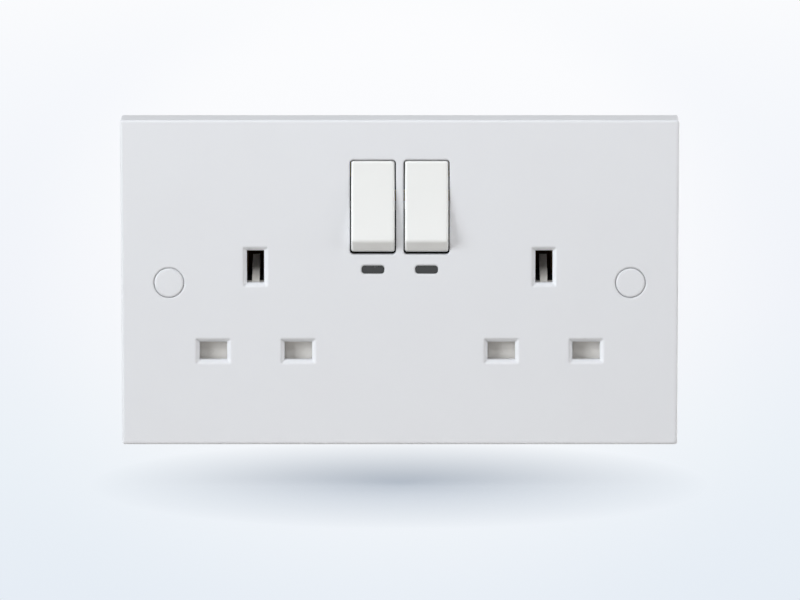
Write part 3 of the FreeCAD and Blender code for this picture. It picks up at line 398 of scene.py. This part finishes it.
# Steel with bright zinc plate: pale blue-grey, smooth, with soft clouds in the plating.
ZINC_STEEL = Metal("zinc_plated_steel", "screw_steel", "D4D7DA", 0.28, tarnish="B4B8BC", cloud=2.0,
                   relief=0.002)
# Hard-drawn steel wire, left bare: mid grey, smooth, with a fine mottle.
SPRING_WIRE = Metal("drawn_spring_wire", "spring_steel", "AEB0B3", 0.32, tarnish="8E9094", cloud=1.0,
                    relief=0.002)
# Nickel rod that has run hot: grey with a faint straw tinge.
NICKEL = Metal("nickel_electrode", "tinned_wire", "B7B1A6", 0.35, tarnish="94897B", cloud=0.8, relief=0.002)


@dataclass
class Form:
    """The corners and faces of one piece, in millimetres."""

    corners: list[Vector] = field(default_factory=list)
    faces: list[tuple[int, ...]] = field(default_factory=list)

    def skin(self, rings: Sequence[Sequence[Vector]]) -> None:
        """Joins rings of corners into a closed skin with flat ends.

        Args:
            rings: the rings in order, all of one length.
        """
        start = len(self.corners)
        count = len(rings[0])
        for ring in rings:
            self.corners.extend(ring)
        for row in range(len(rings) - 1):
            low = start + row * count
            for here in range(count):
                after = (here + 1) % count
                self.faces.append((low + here, low + after, low + count + after, low + count + here))
        last = start + (len(rings) - 1) * count
        self.faces.append(tuple(reversed(range(start, start + count))))
        self.faces.append(tuple(range(last, last + count)))

    def rod(self, start: Vector, end: Vector, radius: float, steps: int = 6, sides: int = 16,
            dome: float = 88.2) -> None:
        """Adds a round rod with domed ends.

        Args:
            start: centre of the dome at one end.
            end: centre of the dome at the other.
            radius: the rod's radius.
            steps: rings in each dome.
            sides: corners in a ring.
            dome: how far round a dome goes before its small flat, degrees.
        """
        along = (end - start).normalized()
        out = along.orthogonal().normalized()
        up = along.cross(out)
        rings = []
        for centre, first in ((start, -dome), (end, 0.0)):
            for step in range(steps + 1):
                lean = math.radians(first + dome * step / steps)
                spread = radius * math.cos(lean)
                hub = centre + along * radius * math.sin(lean)
                rings.append([hub + spread * (math.cos(turn) * out + math.sin(turn) * up)
                              for turn in turns(sides)])
        self.skin(rings)

    def piece(self, name: str, finish: Finish, body: str) -> bpy.types.Object:
        """Makes the form an object that rides on a body.

        Args:
            name: the object's name.
            finish: its material.
            body: the body that carries it.

        Returns:
            The object.
        """
        mesh = bpy.data.meshes.new(name)
        mesh.from_pydata([corner * MM for corner in self.corners], [], self.faces)
        shape = bmesh.new()
        shape.from_mesh(mesh)
        bmesh.ops.recalc_face_normals(shape, faces=shape.faces)
        shape.to_mesh(mesh)
        shape.free()
        mesh.shade_smooth()
        mesh.set_sharp_from_angle(angle=math.radians(CRISP_ANGLE))
        mesh.materials.append(finish.material())
        made = bpy.data.objects.new(name, mesh)
        bpy.context.scene.collection.objects.link(made)
        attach(made, body)
        log.info("made %s, %d faces, on %s", name, len(mesh.polygons), body)
        return made


def turns(sides: int) -> list[float]:
    """The angles of the corners of a ring."""
    return [math.tau * corner / sides for corner in range(sides)]


def both_sides(finishes: dict[str, Finish]) -> dict[str, Finish]:
    """Gives the left and the right solid of each name the same finish."""
    return {f"{name}_{side.value}": finish for name, finish in finishes.items() for side in Side}


def middle(node: str) -> Vector:
    """The centre of a node's box, in millimetres."""
    low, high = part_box(node)
    return (low + high) / 2 / MM


@dataclass
class CoilSpring:
    """A compression spring of round wire, with its end turns closed.

    Attributes:
        foot: where its axis meets the lower end.
        along: direction of its axis.
        length: length over the wire.
        outside: radius over the wire.
        wire: radius of the wire.
        coils: number of turns.
        closed: turns that lie shut at each end.
        shut_pitch: from one shut turn to the next, in wire radii.
        steps_per_coil: rings of corners in a turn.
        sides: corners in a ring.
    """

    foot: Vector
    along: Vector
    length: float
    outside: float
    wire: float
    coils: float
    closed: float = 1.0
    shut_pitch: float = 2.05
    steps_per_coil: int = 36
    sides: int = 10

    def rise(self, turn: float) -> float:
        """Height of the wire's centre after so many turns.

        Args:
            turn: turns from the lower end.

        Returns:
            The height above the lower end.
        """
        shut = self.shut_pitch * self.wire
        open_pitch = (self.length - 2 * self.wire - 2 * self.closed * shut) / (self.coils - 2 * self.closed)
        low = min(turn, self.closed)
        mid = min(max(turn - self.closed, 0.0), self.coils - 2 * self.closed)
        high = max(turn - self.coils + self.closed, 0.0)
        return self.wire + shut * (low + high) + open_pitch * mid

    def form(self) -> Form:
        """Winds the wire.

        Returns:
            The spring.
        """
        made = Form()
        out = self.along.orthogonal().normalized()
        side = self.along.cross(out)
        radius = self.outside - self.wire
        count = round(self.coils * self.steps_per_coil)
        rings = []
        for step in range(count + 1):
            turn = step / self.steps_per_coil
            angle = math.tau * turn
            away = math.cos(angle) * out + math.sin(angle) * side
            centre = self.foot + self.along * self.rise(turn) + away * radius
            rings.append([centre + self.wire * (math.cos(a) * away + math.sin(a) * self.along)
                          for a in turns(self.sides)])
        made.skin(rings)
        return made


@dataclass
class SubAssembly:
    """A group of the socket's pieces that would be put together on a bench by itself."""

    def finishes(self) -> dict[str, Finish]:
        """The solids that keep their shape, each with its finish."""
        return {}

    def dress(self) -> None:
        """Gives each of those solids its finish."""
        for node, finish in self.finishes().items():
            for slot in frame["nodes"][node].material_slots:
                slot.material = finish.material()
            log.info("dressed %s in %s", node, finish.name)

    def build(self) -> None:
        """Makes the pieces that are finer than the solids, where it has any."""


@dataclass
class FacePlate(SubAssembly):
    """The white plate and the two caps over its fixing screws."""

    def finishes(self) -> dict[str, Finish]:
        """Plate and caps come from the same powder."""
        return {"front_plate": UREA} | both_sides({"screw_cap": UREA})


@dataclass
class Switches(SubAssembly):
    """Both rockers, with the sprung pin and the see-saw contact that each one works.

    Attributes:
        spring_wire: radius of the spring's wire.
        spring_length: length of the spring at rest.
        spring_coils: its turns.
        spring_keep: the share of its length that is left when the pin is pressed; not used.
    """

    spring_wire: float = 0.22
    spring_length: float = 5.2
    spring_coils: float = 7.0
    spring_keep: float = 0.85

    def finishes(self) -> dict[str, Finish]:
        """Rockers, pins and contacts."""
        return both_sides({"rocker": ROCKER_PC, "rocker_plunger": ACETAL, "switch_contact": ROLLED_BRASS})

    def build(self) -> None:
        """Winds the spring in each rocker's stem."""
        for side in Side:
            node = f"rocker_spring_{side.value}"
            joint = next(j for j in frame["joints"] if j["name"] == f"plunger_{side.value}_press")
            inward = Vector(joint["axis"]).normalized()
            low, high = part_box(node)
            foot = middle(node) - inward * self.spring_length / 2
            spring = CoilSpring(foot, inward, self.spring_length, (high.x - low.x) / 2 / MM, self.spring_wire,
                                self.spring_coils)
            made = spring.form().piece(f"wound_{node}", SPRING_WIRE, f"rocker_{side.value}")
            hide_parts(node)
            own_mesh(made)


@dataclass
class PinShutters(SubAssembly):
    """The sliding shutters behind the pin holes, each on its own spring.

    Attributes:
        spring_wire: radius of the spring's wire.
        spring_coils: its turns.
        spring_keep: the share of its length that is left when the shutter is down; not used.
    """

    spring_wire: float = 0.22
    spring_coils: float = 11.0
    spring_keep: float = 0.54

    def finishes(self) -> dict[str, Finish]:
        """Both shutters."""
        return both_sides({"shutter": NYLON})

    def build(self) -> None:
        """Winds the spring under each shutter."""
        for side in Side:
            node = f"shutter_spring_{side.value}"
            low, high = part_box(node)
            centre = middle(node)
            foot = Vector((centre.x, centre.y, low.z / MM))
            spring = CoilSpring(foot, Vector((0, 0, 1)), (high.z - low.z) / MM, (high.x - low.x) / 2 / MM,
                                self.spring_wire, self.spring_coils)
            made = spring.form().piece(f"wound_{node}", SPRING_WIRE, "socket")
            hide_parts(node)
            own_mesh(made)


@dataclass
class Indicators(SubAssembly):
    """The lenses under the rockers, with the neon lamps, resistors and leads behind them.

    Attributes:
        electrode_radius: radius of a lamp's electrode.
        electrode_length: its length between the domes.
        electrode_gap: from one electrode's axis to the other's.
    """

    electrode_radius: float = 0.35
    electrode_length: float = 4.6
    electrode_gap: float = 1.5

    def finishes(self) -> dict[str, Finish]:
        """Lenses, lamps, resistors and leads."""
        return both_sides({"indicator_lens": SMOKED_LENS, "neon_lamp": LAMP_GLASS, "neon_resistor": LACQUER,
                           "neon_lead": TINNED_COPPER})

    def build(self) -> None:
        """Stands the pair of electrodes in each lamp."""
        for side in Side:
            centre = middle(f"neon_lamp_{side.value}")
            pair = Form()
            half = Vector((self.electrode_length / 2, 0, 0))
            for sign in (-1, 1):
                offset = Vector((0, 0, sign * self.electrode_gap / 2))
                pair.rod(centre + offset - half, centre + offset + half, self.electrode_radius)
            pair.piece(f"lamp_electrodes_{side.value}", NICKEL, "socket")


@dataclass
class Metalwork(SubAssembly):
    """The contact bars, earth straps, terminals and their clamp screws."""

    def finishes(self) -> dict[str, Finish]:
        """Bars, straps and clips in strip, terminals from bar, screws plated."""
        # The earth bar's dark brown is painted shade, standing for the darkness deep in the earth slots.
        single = {"live_bar": ROLLED_BRASS, "neutral_bar": ROLLED_BRASS, "earth_bar": DARK_SHADE_BRONZE,
                  "terminal_neutral": CUT_BRASS, "terminal_live": CUT_BRASS, "terminal_screws": ZINC_STEEL}
        return single | both_sides({"live_contact": ROLLED_BRASS, "earth_strap": ROLLED_BRASS,
                                    "terminal_earth": CUT_BRASS})


class Mark(Enum):
    """The signs by the terminals, as strokes from point to point, a unit high and seen from behind."""

    LIVE = (((-0.3, 0.5), (-0.3, -0.5)), ((-0.3, -0.5), (0.3, -0.5)))
    NEUTRAL = (((-0.35, -0.5), (-0.35, 0.5)), ((-0.35, 0.5), (0.35, -0.5)), ((0.35, -0.5), (0.35, 0.5)))
    EARTH = (((0, 0.5), (0, 0)), ((-0.45, 0), (0.45, 0)), ((-0.28, -0.25), (0.28, -0.25)),
             ((-0.1, -0.5), (0.1, -0.5)))


@dataclass
class RearMoulding(SubAssembly):
    """The dark housing behind the plate, its screws, and the signs moulded by its terminals.

    Attributes:
        mark_height: height of a sign.
        stroke: radius of its strokes.
        mark_above: from a terminal's middle up to its sign's.
        marks: the sign of each terminal.
        back: depth of the housing's back, which the strokes are half sunk in.
    """

    mark_height: float = 3.0
    stroke: float = 0.28
    mark_above: float = 8.6
    marks: dict[str, Mark] = field(default_factory=lambda: {
        "terminal_neutral": Mark.NEUTRAL, "terminal_earth_left": Mark.EARTH,
        "terminal_earth_right": Mark.EARTH, "terminal_live": Mark.LIVE})
    back: float = 17.7

    def finishes(self) -> dict[str, Finish]:
        """The housing and the screws that close it."""
        return {"rear_housing": BLACK_NYLON, "housing_screws": ZINC_STEEL}

    def build(self) -> None:
        """Raises a sign above each terminal's screw well, half sunk in the housing's back."""
        for node, mark in self.marks.items():
            place = middle(node)
            sign = Form()
            for ends in mark.value:
                points = [Vector((place.x - across * self.mark_height, self.back,
                                  place.z + self.mark_above + up * self.mark_height)) for across, up in ends]
                sign.rod(points[0], points[1], self.stroke)
            sign.piece(f"moulded_mark_{node}", BLACK_NYLON, "socket")


@dataclass
class WallScrews(SubAssembly):
    """The two screws that hold the socket to the wall box, with their threads cut.

    Attributes:
        head_radius: radius of the head.
        head_front: depth of the head's front, where the wall's face is nought.
        head_back: depth of its seat.
        head_crown: the head's rounded edge, as steps back from its front and in from its side.
        slot_half: half the width of the driver's slot.
        slot_deep: its depth.
        slot_over: how far the cutter of the slot stands out past the head.
        neck_radius: radius of the plain neck.
        neck_gap: from the neck's end to the first thread.
        thread_start: depth of the first thread.
        thread_radius: radius over the thread.
        thread_deep: depth of its groove.
        thread_flat: the slope of the groove's sides, which leaves a flat on its crest.
        thread_pitch: from crest to crest.
        tip: depth of the screw's end.
        tip_bevel: the bevel there.
        sides: corners in a ring.
        rings_per_pitch: rings from crest to crest.
    """

    head_radius: float = 3.3
    head_front: float = -6.0
    head_back: float = -3.6
    head_crown: tuple[tuple[float, float], ...] = ((0.0, 0.5), (0.12, 0.15), (0.4, 0.0))
    slot_half: float = 0.5
    slot_deep: float = 1.1
    slot_over: float = 1.0
    neck_radius: float = 1.5
    neck_gap: float = 0.1
    thread_start: float = 0.4
    thread_radius: float = 1.75
    thread_deep: float = 0.33
    thread_flat: float = 1.25
    thread_pitch: float = 0.6
    tip: float = 21.4
    tip_bevel: float = 0.5
    sides: int = 28
    rings_per_pitch: int = 8

    def radius(self, depth: float, turn: float) -> float:
        """The thread's radius at a point, with the thread fading in and out at its ends.

        Args:
            depth: how far into the wall, mm.
            turn: angle round the screw, radians.

        Returns:
            The radius, mm.
        """
        phase = (depth / self.thread_pitch - turn / math.tau) % 1.0
        groove = 1 - min(abs(2 * phase - 1) * self.thread_flat, 1.0)
        fade = min(1.0, (depth - self.thread_start) / self.thread_pitch)
        bevel = max(0.0, depth - (self.tip - self.tip_bevel))
        return self.thread_radius - max(bevel, self.thread_deep * max(groove, 1 - fade))

    def form(self, x: float) -> Form:
        """Turns the head and neck and cuts the thread.

        Args:
            x: the screw's place across the socket.

        Returns:
            The screw, without its slot.
        """
        plain = [(self.head_front + back, self.head_radius - inward) for back, inward in self.head_crown]
        plain += [(self.head_back, self.head_radius), (self.head_back, self.neck_radius),
                  (self.thread_start - self.neck_gap, self.neck_radius)]
        angles = turns(self.sides)
        rings = [self.ring(x, depth, [radius] * self.sides) for depth, radius in plain]
        count = round((self.tip - self.thread_start) / self.thread_pitch * self.rings_per_pitch)
        for step in range(count + 1):
            depth = self.thread_start + (self.tip - self.thread_start) * step / count
            rings.append(self.ring(x, depth, [self.radius(depth, turn) for turn in angles]))
        made = Form()
        made.skin(rings)
        return made

    def ring(self, x: float, depth: float, radii: Sequence[float]) -> list[Vector]:
        """One ring of corners round the screw's axis."""
        return [Vector((x + radius * math.cos(turn), depth, radius * math.sin(turn)))
                for radius, turn in zip(radii, turns(self.sides))]

    def slot(self, x: float) -> bpy.types.Object:
        """Makes a cutter for the driver's slot.

        Args:
            x: the screw's place across the socket.

        Returns:
            The cutter, which is taken away after the cut.
        """
        cutter = Form()
        deep = self.head_front + self.slot_deep
        out = self.head_front - self.slot_over
        half = self.slot_half
        reach = self.head_radius + self.slot_over
        rings = []
        for across in (-reach, reach):
            corners = ((out, -half), (deep, -half), (deep, half), (out, half))
            rings.append([Vector((x + across, depth, height)) for depth, height in corners])
        cutter.skin(rings)
        return cutter.piece("slot_cutter", ZINC_STEEL, "socket")

    def build(self) -> None:
        """Makes both screws in place of their plain solids."""
        low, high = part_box("fixing_screws")
        for side, x in zip(Side, (low.x / MM + self.head_radius, high.x / MM - self.head_radius)):
            screw = self.form(x).piece(f"wall_screw_{side.value}", ZINC_STEEL, "socket")
            cutter = self.slot(x)
            cut = screw.modifiers.new("slot", "BOOLEAN")
            cut.object = cutter
            cut.operation = "DIFFERENCE"
            whole = screw.evaluated_get(bpy.context.evaluated_depsgraph_get())
            slotted = bpy.data.meshes.new_from_object(whole)
            screw.modifiers.clear()
            screw.data = slotted
            bpy.data.objects.remove(cutter)
            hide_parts("fixing_screws")


@dataclass(frozen=True)
class Softbox:
    """A lamp with an even rectangular face.

    Attributes:
        name: what the lamp does.
        azimuth: degrees round from the front, to the right as one faces the socket.
        elevation: degrees above the socket.
        distance: mm from the socket.
        wide: width of its face, mm.
        tall: height of its face, mm.
        share: how bright a white card that faces it looks, where one is white.
        colour: its light.
    """

    name: str
    azimuth: float
    elevation: float
    distance: float
    wide: float
    tall: float
    share: float
    colour: str = "FFFFFF"

    def build(self) -> None:
        """Hangs the lamp and turns it to the socket, with the watts that its share takes at its distance."""
        around, up = math.radians(self.azimuth), math.radians(self.elevation)
        away = Vector((math.sin(around) * math.cos(up), -math.cos(around) * math.cos(up), math.sin(up)))
        light = bpy.data.lights.new(self.name, "AREA")
        light.shape = "RECTANGLE"
        light.size = self.wide * MM
        light.size_y = self.tall * MM
        light.energy = self.share * (math.pi * self.distance * MM) ** 2
        light.color = linear(self.colour)[:3]
        lamp = bpy.data.objects.new(self.name, light)
        lamp.location = away * self.distance * MM
        lamp.rotation_euler = away.to_track_quat("Z", "Y").to_euler()
        bpy.context.scene.collection.objects.link(lamp)
        log.info("hung %s at %.0f W", self.name, light.energy)


@dataclass
class Studio:
    """The pale floor, the lamps, the air round the socket and the camera.

    Attributes:
        floor: height of the floor.
        floor_half: half its side.
        floor_grain: width of the paper's fibres.
        floor_relief: their depth.
        tones: the paper's tones, each with how far behind the socket it lies, paler towards the back as a
            painted fall of light.
        shade_spot: where the middle of the floor's shadow is, behind the socket: the real shadow, with a
            painted shadow pool on it.
        shade_reach: how far to the side and to the front the real and the painted shadow fade out.
        matt: the share of its tone that the floor shows by the lamps' light, under the socket.
        shadow_pool_glow: the light that it shows its tone by there, besides, dimmer and bluer than the plain
            tone beyond, which paints a shadow pool under the socket.
        bounce: the colour of the light that it throws back at the socket, for a white light.
        halo: the colour that the backdrop goes to in its middle, a painted pool of light.
        halo_spot: where that middle is, behind the socket.
        halo_reach: how far it goes to the side and to the back.
        halo_fade: where in that reach it starts and ends to fade.
        halo_share: how far the tone goes towards the halo's colour.
        air: how bright the surroundings are as light.
        front_dark: half the angle of the dark room behind the camera, degrees.
        elevation: the camera's height above the socket, degrees.
        distance: from the camera to the plate's face.
        field_wide: what the picture spans at the face.
        aim: the point in the middle of the picture.
        sensor: width of the camera's sensor.
        lamps: the softboxes.
    """

    floor: float = -55.0
    floor_half: float = 6000.0
    floor_grain: float = 1.2
    floor_relief: float = 0.01
    # The paper paler towards the back: a painted fall of light.
    tones: tuple[tuple[float, str], ...] = (
        (-150.0, "E6EDF5"), (60.0, "EBF1F7"), (340.0, "F0F3F9"), (1000.0, "F6F8FC"), (1440.0, "FAFBFD"))
    shade_spot: float = 1.0
    shade_reach: tuple[float, float] = (82.0, 66.0)
    matt: float = 0.25
    # The floor's glow under the socket, dimmer and bluer than its plain tone: a painted shadow pool.
    shadow_pool_glow: str = "A9B0B9"
    bounce: str = "C8C2BA"
    # A painted pool of light in the middle of the backdrop.
    halo: str = "FEFEFF"
    halo_spot: float = 700.0
    halo_reach: tuple[float, float] = (140.0, 900.0)
    halo_fade: tuple[float, float] = (0.6, 1.1)
    halo_share: float = 0.6
    air: float = 0.17
    front_dark: float = 40.0
    elevation: float = 8.3
    distance: float = 1400.0
    field_wide: float = 209.15
    aim: tuple[float, float, float] = (0.06, -9.5, -4.52)
    sensor: float = 36.0
    lamps: tuple[Softbox, ...] = (
        Softbox("upper_softbox", -6.0, 50.0, 580.0, 290.0, 290.0, 0.37),
        Softbox("left_softbox", -57.0, 8.0, 2200.0, 1140.0, 1600.0, 1.03, "F8FCFF"),
        Softbox("right_fill", 72.0, 10.0, 1600.0, 700.0, 700.0, 0.30),
        Softbox("back_fill", 128.0, 4.0, 1600.0, 700.0, 300.0, 0.65),
    )

    def build(self) -> None:
        """Sets the stage."""
        self.lay_floor()
        self.fill_air()
        for lamp in self.lamps:
            lamp.build()
        self.stand_camera()

    def stand_camera(self) -> None:
        """Puts the camera where the portrait was taken from."""
        up = math.radians(self.elevation)
        back = Vector((0, -math.cos(up), math.sin(up)))
        data = bpy.data.cameras.new("portrait_camera")
        data.sensor_width = self.sensor
        data.lens = self.sensor * self.distance / self.field_wide
        camera = bpy.data.objects.new("portrait_camera", data)
        camera.location = (Vector(self.aim) + back * self.distance) * MM
        camera.rotation_euler = back.to_track_quat("Z", "Y").to_euler()
        bpy.context.scene.collection.objects.link(camera)
        bpy.context.scene.camera = camera
        log.info("stood the camera, %.0f mm lens", data.lens)

    def lay_floor(self) -> None:
        """Lays the paper floor, which shows the socket's real shadow and a painted shadow pool near it, and
        fades to plain tone beyond.
        """
        half = self.floor_half * MM
        mesh = bpy.data.meshes.new("paper_floor")
        corners = [(-half, -half, 0), (half, -half, 0), (half, half, 0), (-half, half, 0)]
        mesh.from_pydata(corners, [], [(0, 1, 2, 3)])
        paper = bpy.data.materials.new("studio_paper")
        paper.use_nodes = True
        self.shade_paper(paper.node_tree)
        mesh.materials.append(paper)
        floor = bpy.data.objects.new("paper_floor", mesh)
        floor.location.z = self.floor * MM
        bpy.context.scene.collection.objects.link(floor)
        log.info("laid the floor")

    def shade_paper(self, tree: Tree) -> None:
        """Paper that is paler towards the back, takes the socket's real shadow with a painted shadow pool
        under it, and shows its own tone beyond.

        Args:
            tree: the paper's node tree.
        """
        tree.nodes.remove(tree.nodes["Principled BSDF"])
        place = add(tree, "ShaderNodeTexCoord").outputs["Object"]
        tone = self.paint_backdrop_light_pool(tree, place, self.tone(tree, place))
        fibre = add(tree, "ShaderNodeTexNoise", {"Vector": place, "Scale": per_metre(self.floor_grain)})
        bump = add(tree, "ShaderNodeBump", {
            "Height": fibre.outputs["Fac"], "Distance": self.floor_relief * MM})
        seen = self.seen(tree)
        away = self.ovals(tree, place, self.shade_spot, self.shade_reach)
        plain = add(tree, "ShaderNodeMapRange", {"Value": away}).outputs["Result"]
        pale = add(tree, "ShaderNodeVectorMath", {0: tone, "Scale": self.matt}, operation="SCALE")
        given = add(tree, "ShaderNodeMix", {
            0: seen, 6: linear(self.bounce), 7: pale.outputs["Vector"]}, data_type="RGBA")
        matt = add(tree, "ShaderNodeBsdfDiffuse", {
            "Color": given.outputs[2], "Normal": bump.outputs["Normal"]})
        # Painted shadow pool: under the socket the floor glows by a dimmer, bluer copy of its tone, so it
        # shows darker than its real shadow alone makes it.
        cool = add(tree, "ShaderNodeVectorMath", {0: tone, 1: linear(self.shadow_pool_glow)[:3]}, operation="MULTIPLY")
        own = add(tree, "ShaderNodeEmission", {"Color": cool.outputs["Vector"], "Strength": seen})
        shaded = add(tree, "ShaderNodeAddShader", {0: matt.outputs["BSDF"], 1: own.outputs["Emission"]})
        shown = add(tree, "ShaderNodeEmission", {"Color": tone})
        share = add(tree, "ShaderNodeMath", {0: plain, 1: seen}, operation="MULTIPLY")
        front = add(tree, "ShaderNodeMixShader", {
            0: share.outputs["Value"], 1: shaded.outputs["Shader"], 2: shown.outputs["Emission"]})
        clear = add(tree, "ShaderNodeBsdfTransparent")
        under = add(tree, "ShaderNodeNewGeometry").outputs["Backfacing"]
        both = add(tree, "ShaderNodeMixShader", {
            0: under, 1: front.outputs["Shader"], 2: clear.outputs["BSDF"]})
        tree.links.new(both.outputs["Shader"], tree.nodes["Material Output"].inputs["Surface"])

    def tone(self, tree: Tree, place: Socket) -> Socket:
        """The paper's tone, which grows paler towards the back: a painted fall of light.

        Args:
            tree: the paper's node tree.
            place: the point of the floor.

        Returns:
            The colour there.
        """
        depth = add(tree, "ShaderNodeSeparateXYZ", {"Vector": place}).outputs["Y"]
        nearest, farthest = self.tones[0][0], self.tones[-1][0]
        back = add(tree, "ShaderNodeMapRange", {"Value": depth, "From Min": nearest * MM,
                                                "From Max": farthest * MM})
        ramp = add(tree, "ShaderNodeValToRGB", {"Fac": back.outputs["Result"]})
        stops = ramp.color_ramp.elements
        stops[0].color = linear(self.tones[0][1])
        stops[1].color = linear(self.tones[-1][1])
        for distance, code in self.tones[1:-1]:
            stops.new((distance - nearest) / (farthest - nearest)).color = linear(code)
        return ramp.outputs["Color"]

    def ovals(self, tree: Tree, place: Socket, spot: float, reach: tuple[float, float]) -> Socket:
        """How far out a point of the floor is, in ovals round a spot behind the socket.

        Args:
            tree: the paper's node tree.
            place: the point.
            spot: how far back the spot is.
            reach: half the width and depth of the oval that counts as one.

        Returns:
            The distance, nought at the spot.
        """
        across, deep = reach
        oval = add(tree, "ShaderNodeMapping", {
            "Vector": place, "Location": (0, -spot / deep, 0),
            "Scale": (per_metre(across), per_metre(deep), 1)}).outputs["Vector"]
        return add(tree, "ShaderNodeVectorMath", {0: oval}, operation="LENGTH").outputs["Value"]

    def paint_backdrop_light_pool(self, tree: Tree, place: Socket, tone: Socket) -> Socket:
        """Paints a pool of light in the middle of the backdrop.

        Args:
            tree: the paper's node tree.
            place: the point of the floor.
            tone: its tone so far.

        Returns:
            The brighter tone.
        """
        away = self.ovals(tree, place, self.halo_spot, self.halo_reach)
        full, gone = self.halo_fade
        share = add(tree, "ShaderNodeMapRange", {
            "Value": away, "From Min": full, "From Max": gone, "To Min": self.halo_share, "To Max": 0.0},
            interpolation_type="SMOOTHSTEP")
        return add(tree, "ShaderNodeMix", {0: share.outputs["Result"], 6: tone, 7: linear(self.halo)},
                   data_type="RGBA").outputs[2]

    def seen(self, tree: Tree) -> Socket:
        """One where a surface is seen, straight, reflected or through glass, and nought where it only lights.

        Args:
            tree: the node tree that asks.

        Returns:
            The output that says so.
        """
        path = add(tree, "ShaderNodeLightPath").outputs
        either = add(tree, "ShaderNodeMath", {0: path["Is Camera Ray"], 1: path["Is Glossy Ray"]},
                     operation="MAXIMUM")
        return add(tree, "ShaderNodeMath", {0: either.outputs["Value"], 1: path["Is Transmission Ray"]},
                   operation="MAXIMUM").outputs["Value"]

    def fill_air(self) -> None:
        """A pale room: white where it is seen; as light, low and even but dark behind the camera."""
        world = bpy.data.worlds.new("studio_air")
        bpy.context.scene.world = world
        world.use_nodes = True
        tree = world.node_tree
        towards = add(tree, "ShaderNodeTexCoord").outputs["Generated"]
        ahead = add(tree, "ShaderNodeVectorMath", {0: towards, 1: (0, -1, 0)}, operation="DOT_PRODUCT")
        lit = add(tree, "ShaderNodeMapRange", {
            "Value": ahead.outputs["Value"], "From Min": math.cos(math.radians(self.front_dark)),
            "From Max": 1.0, "To Min": self.air, "To Max": 0.0}, interpolation_type="SMOOTHSTEP")
        strength = add(tree, "ShaderNodeMix", {0: self.seen(tree), 2: lit.outputs["Result"], 3: 1.0})
        feed(tree, tree.nodes["Background"], {
            "Color": linear(self.tones[-1][1]), "Strength": strength.outputs[0]})
        log.info("filled the air at %.2f", self.air)


def main() -> None:
    """Builds and dresses every sub-assembly and sets the stage."""
    logging.basicConfig(level=logging.INFO, format="%(name)s: %(message)s")
    bpy.context.scene.view_settings.view_transform = "Standard"
    parts: tuple[SubAssembly, ...] = (FacePlate(), Switches(), PinShutters(), Indicators(), Metalwork(),
                                      RearMoulding(), WallScrews())
    for part in parts:
        part.dress()
        part.build()
    Studio().build()


if __name__ == "__main__":
    main()
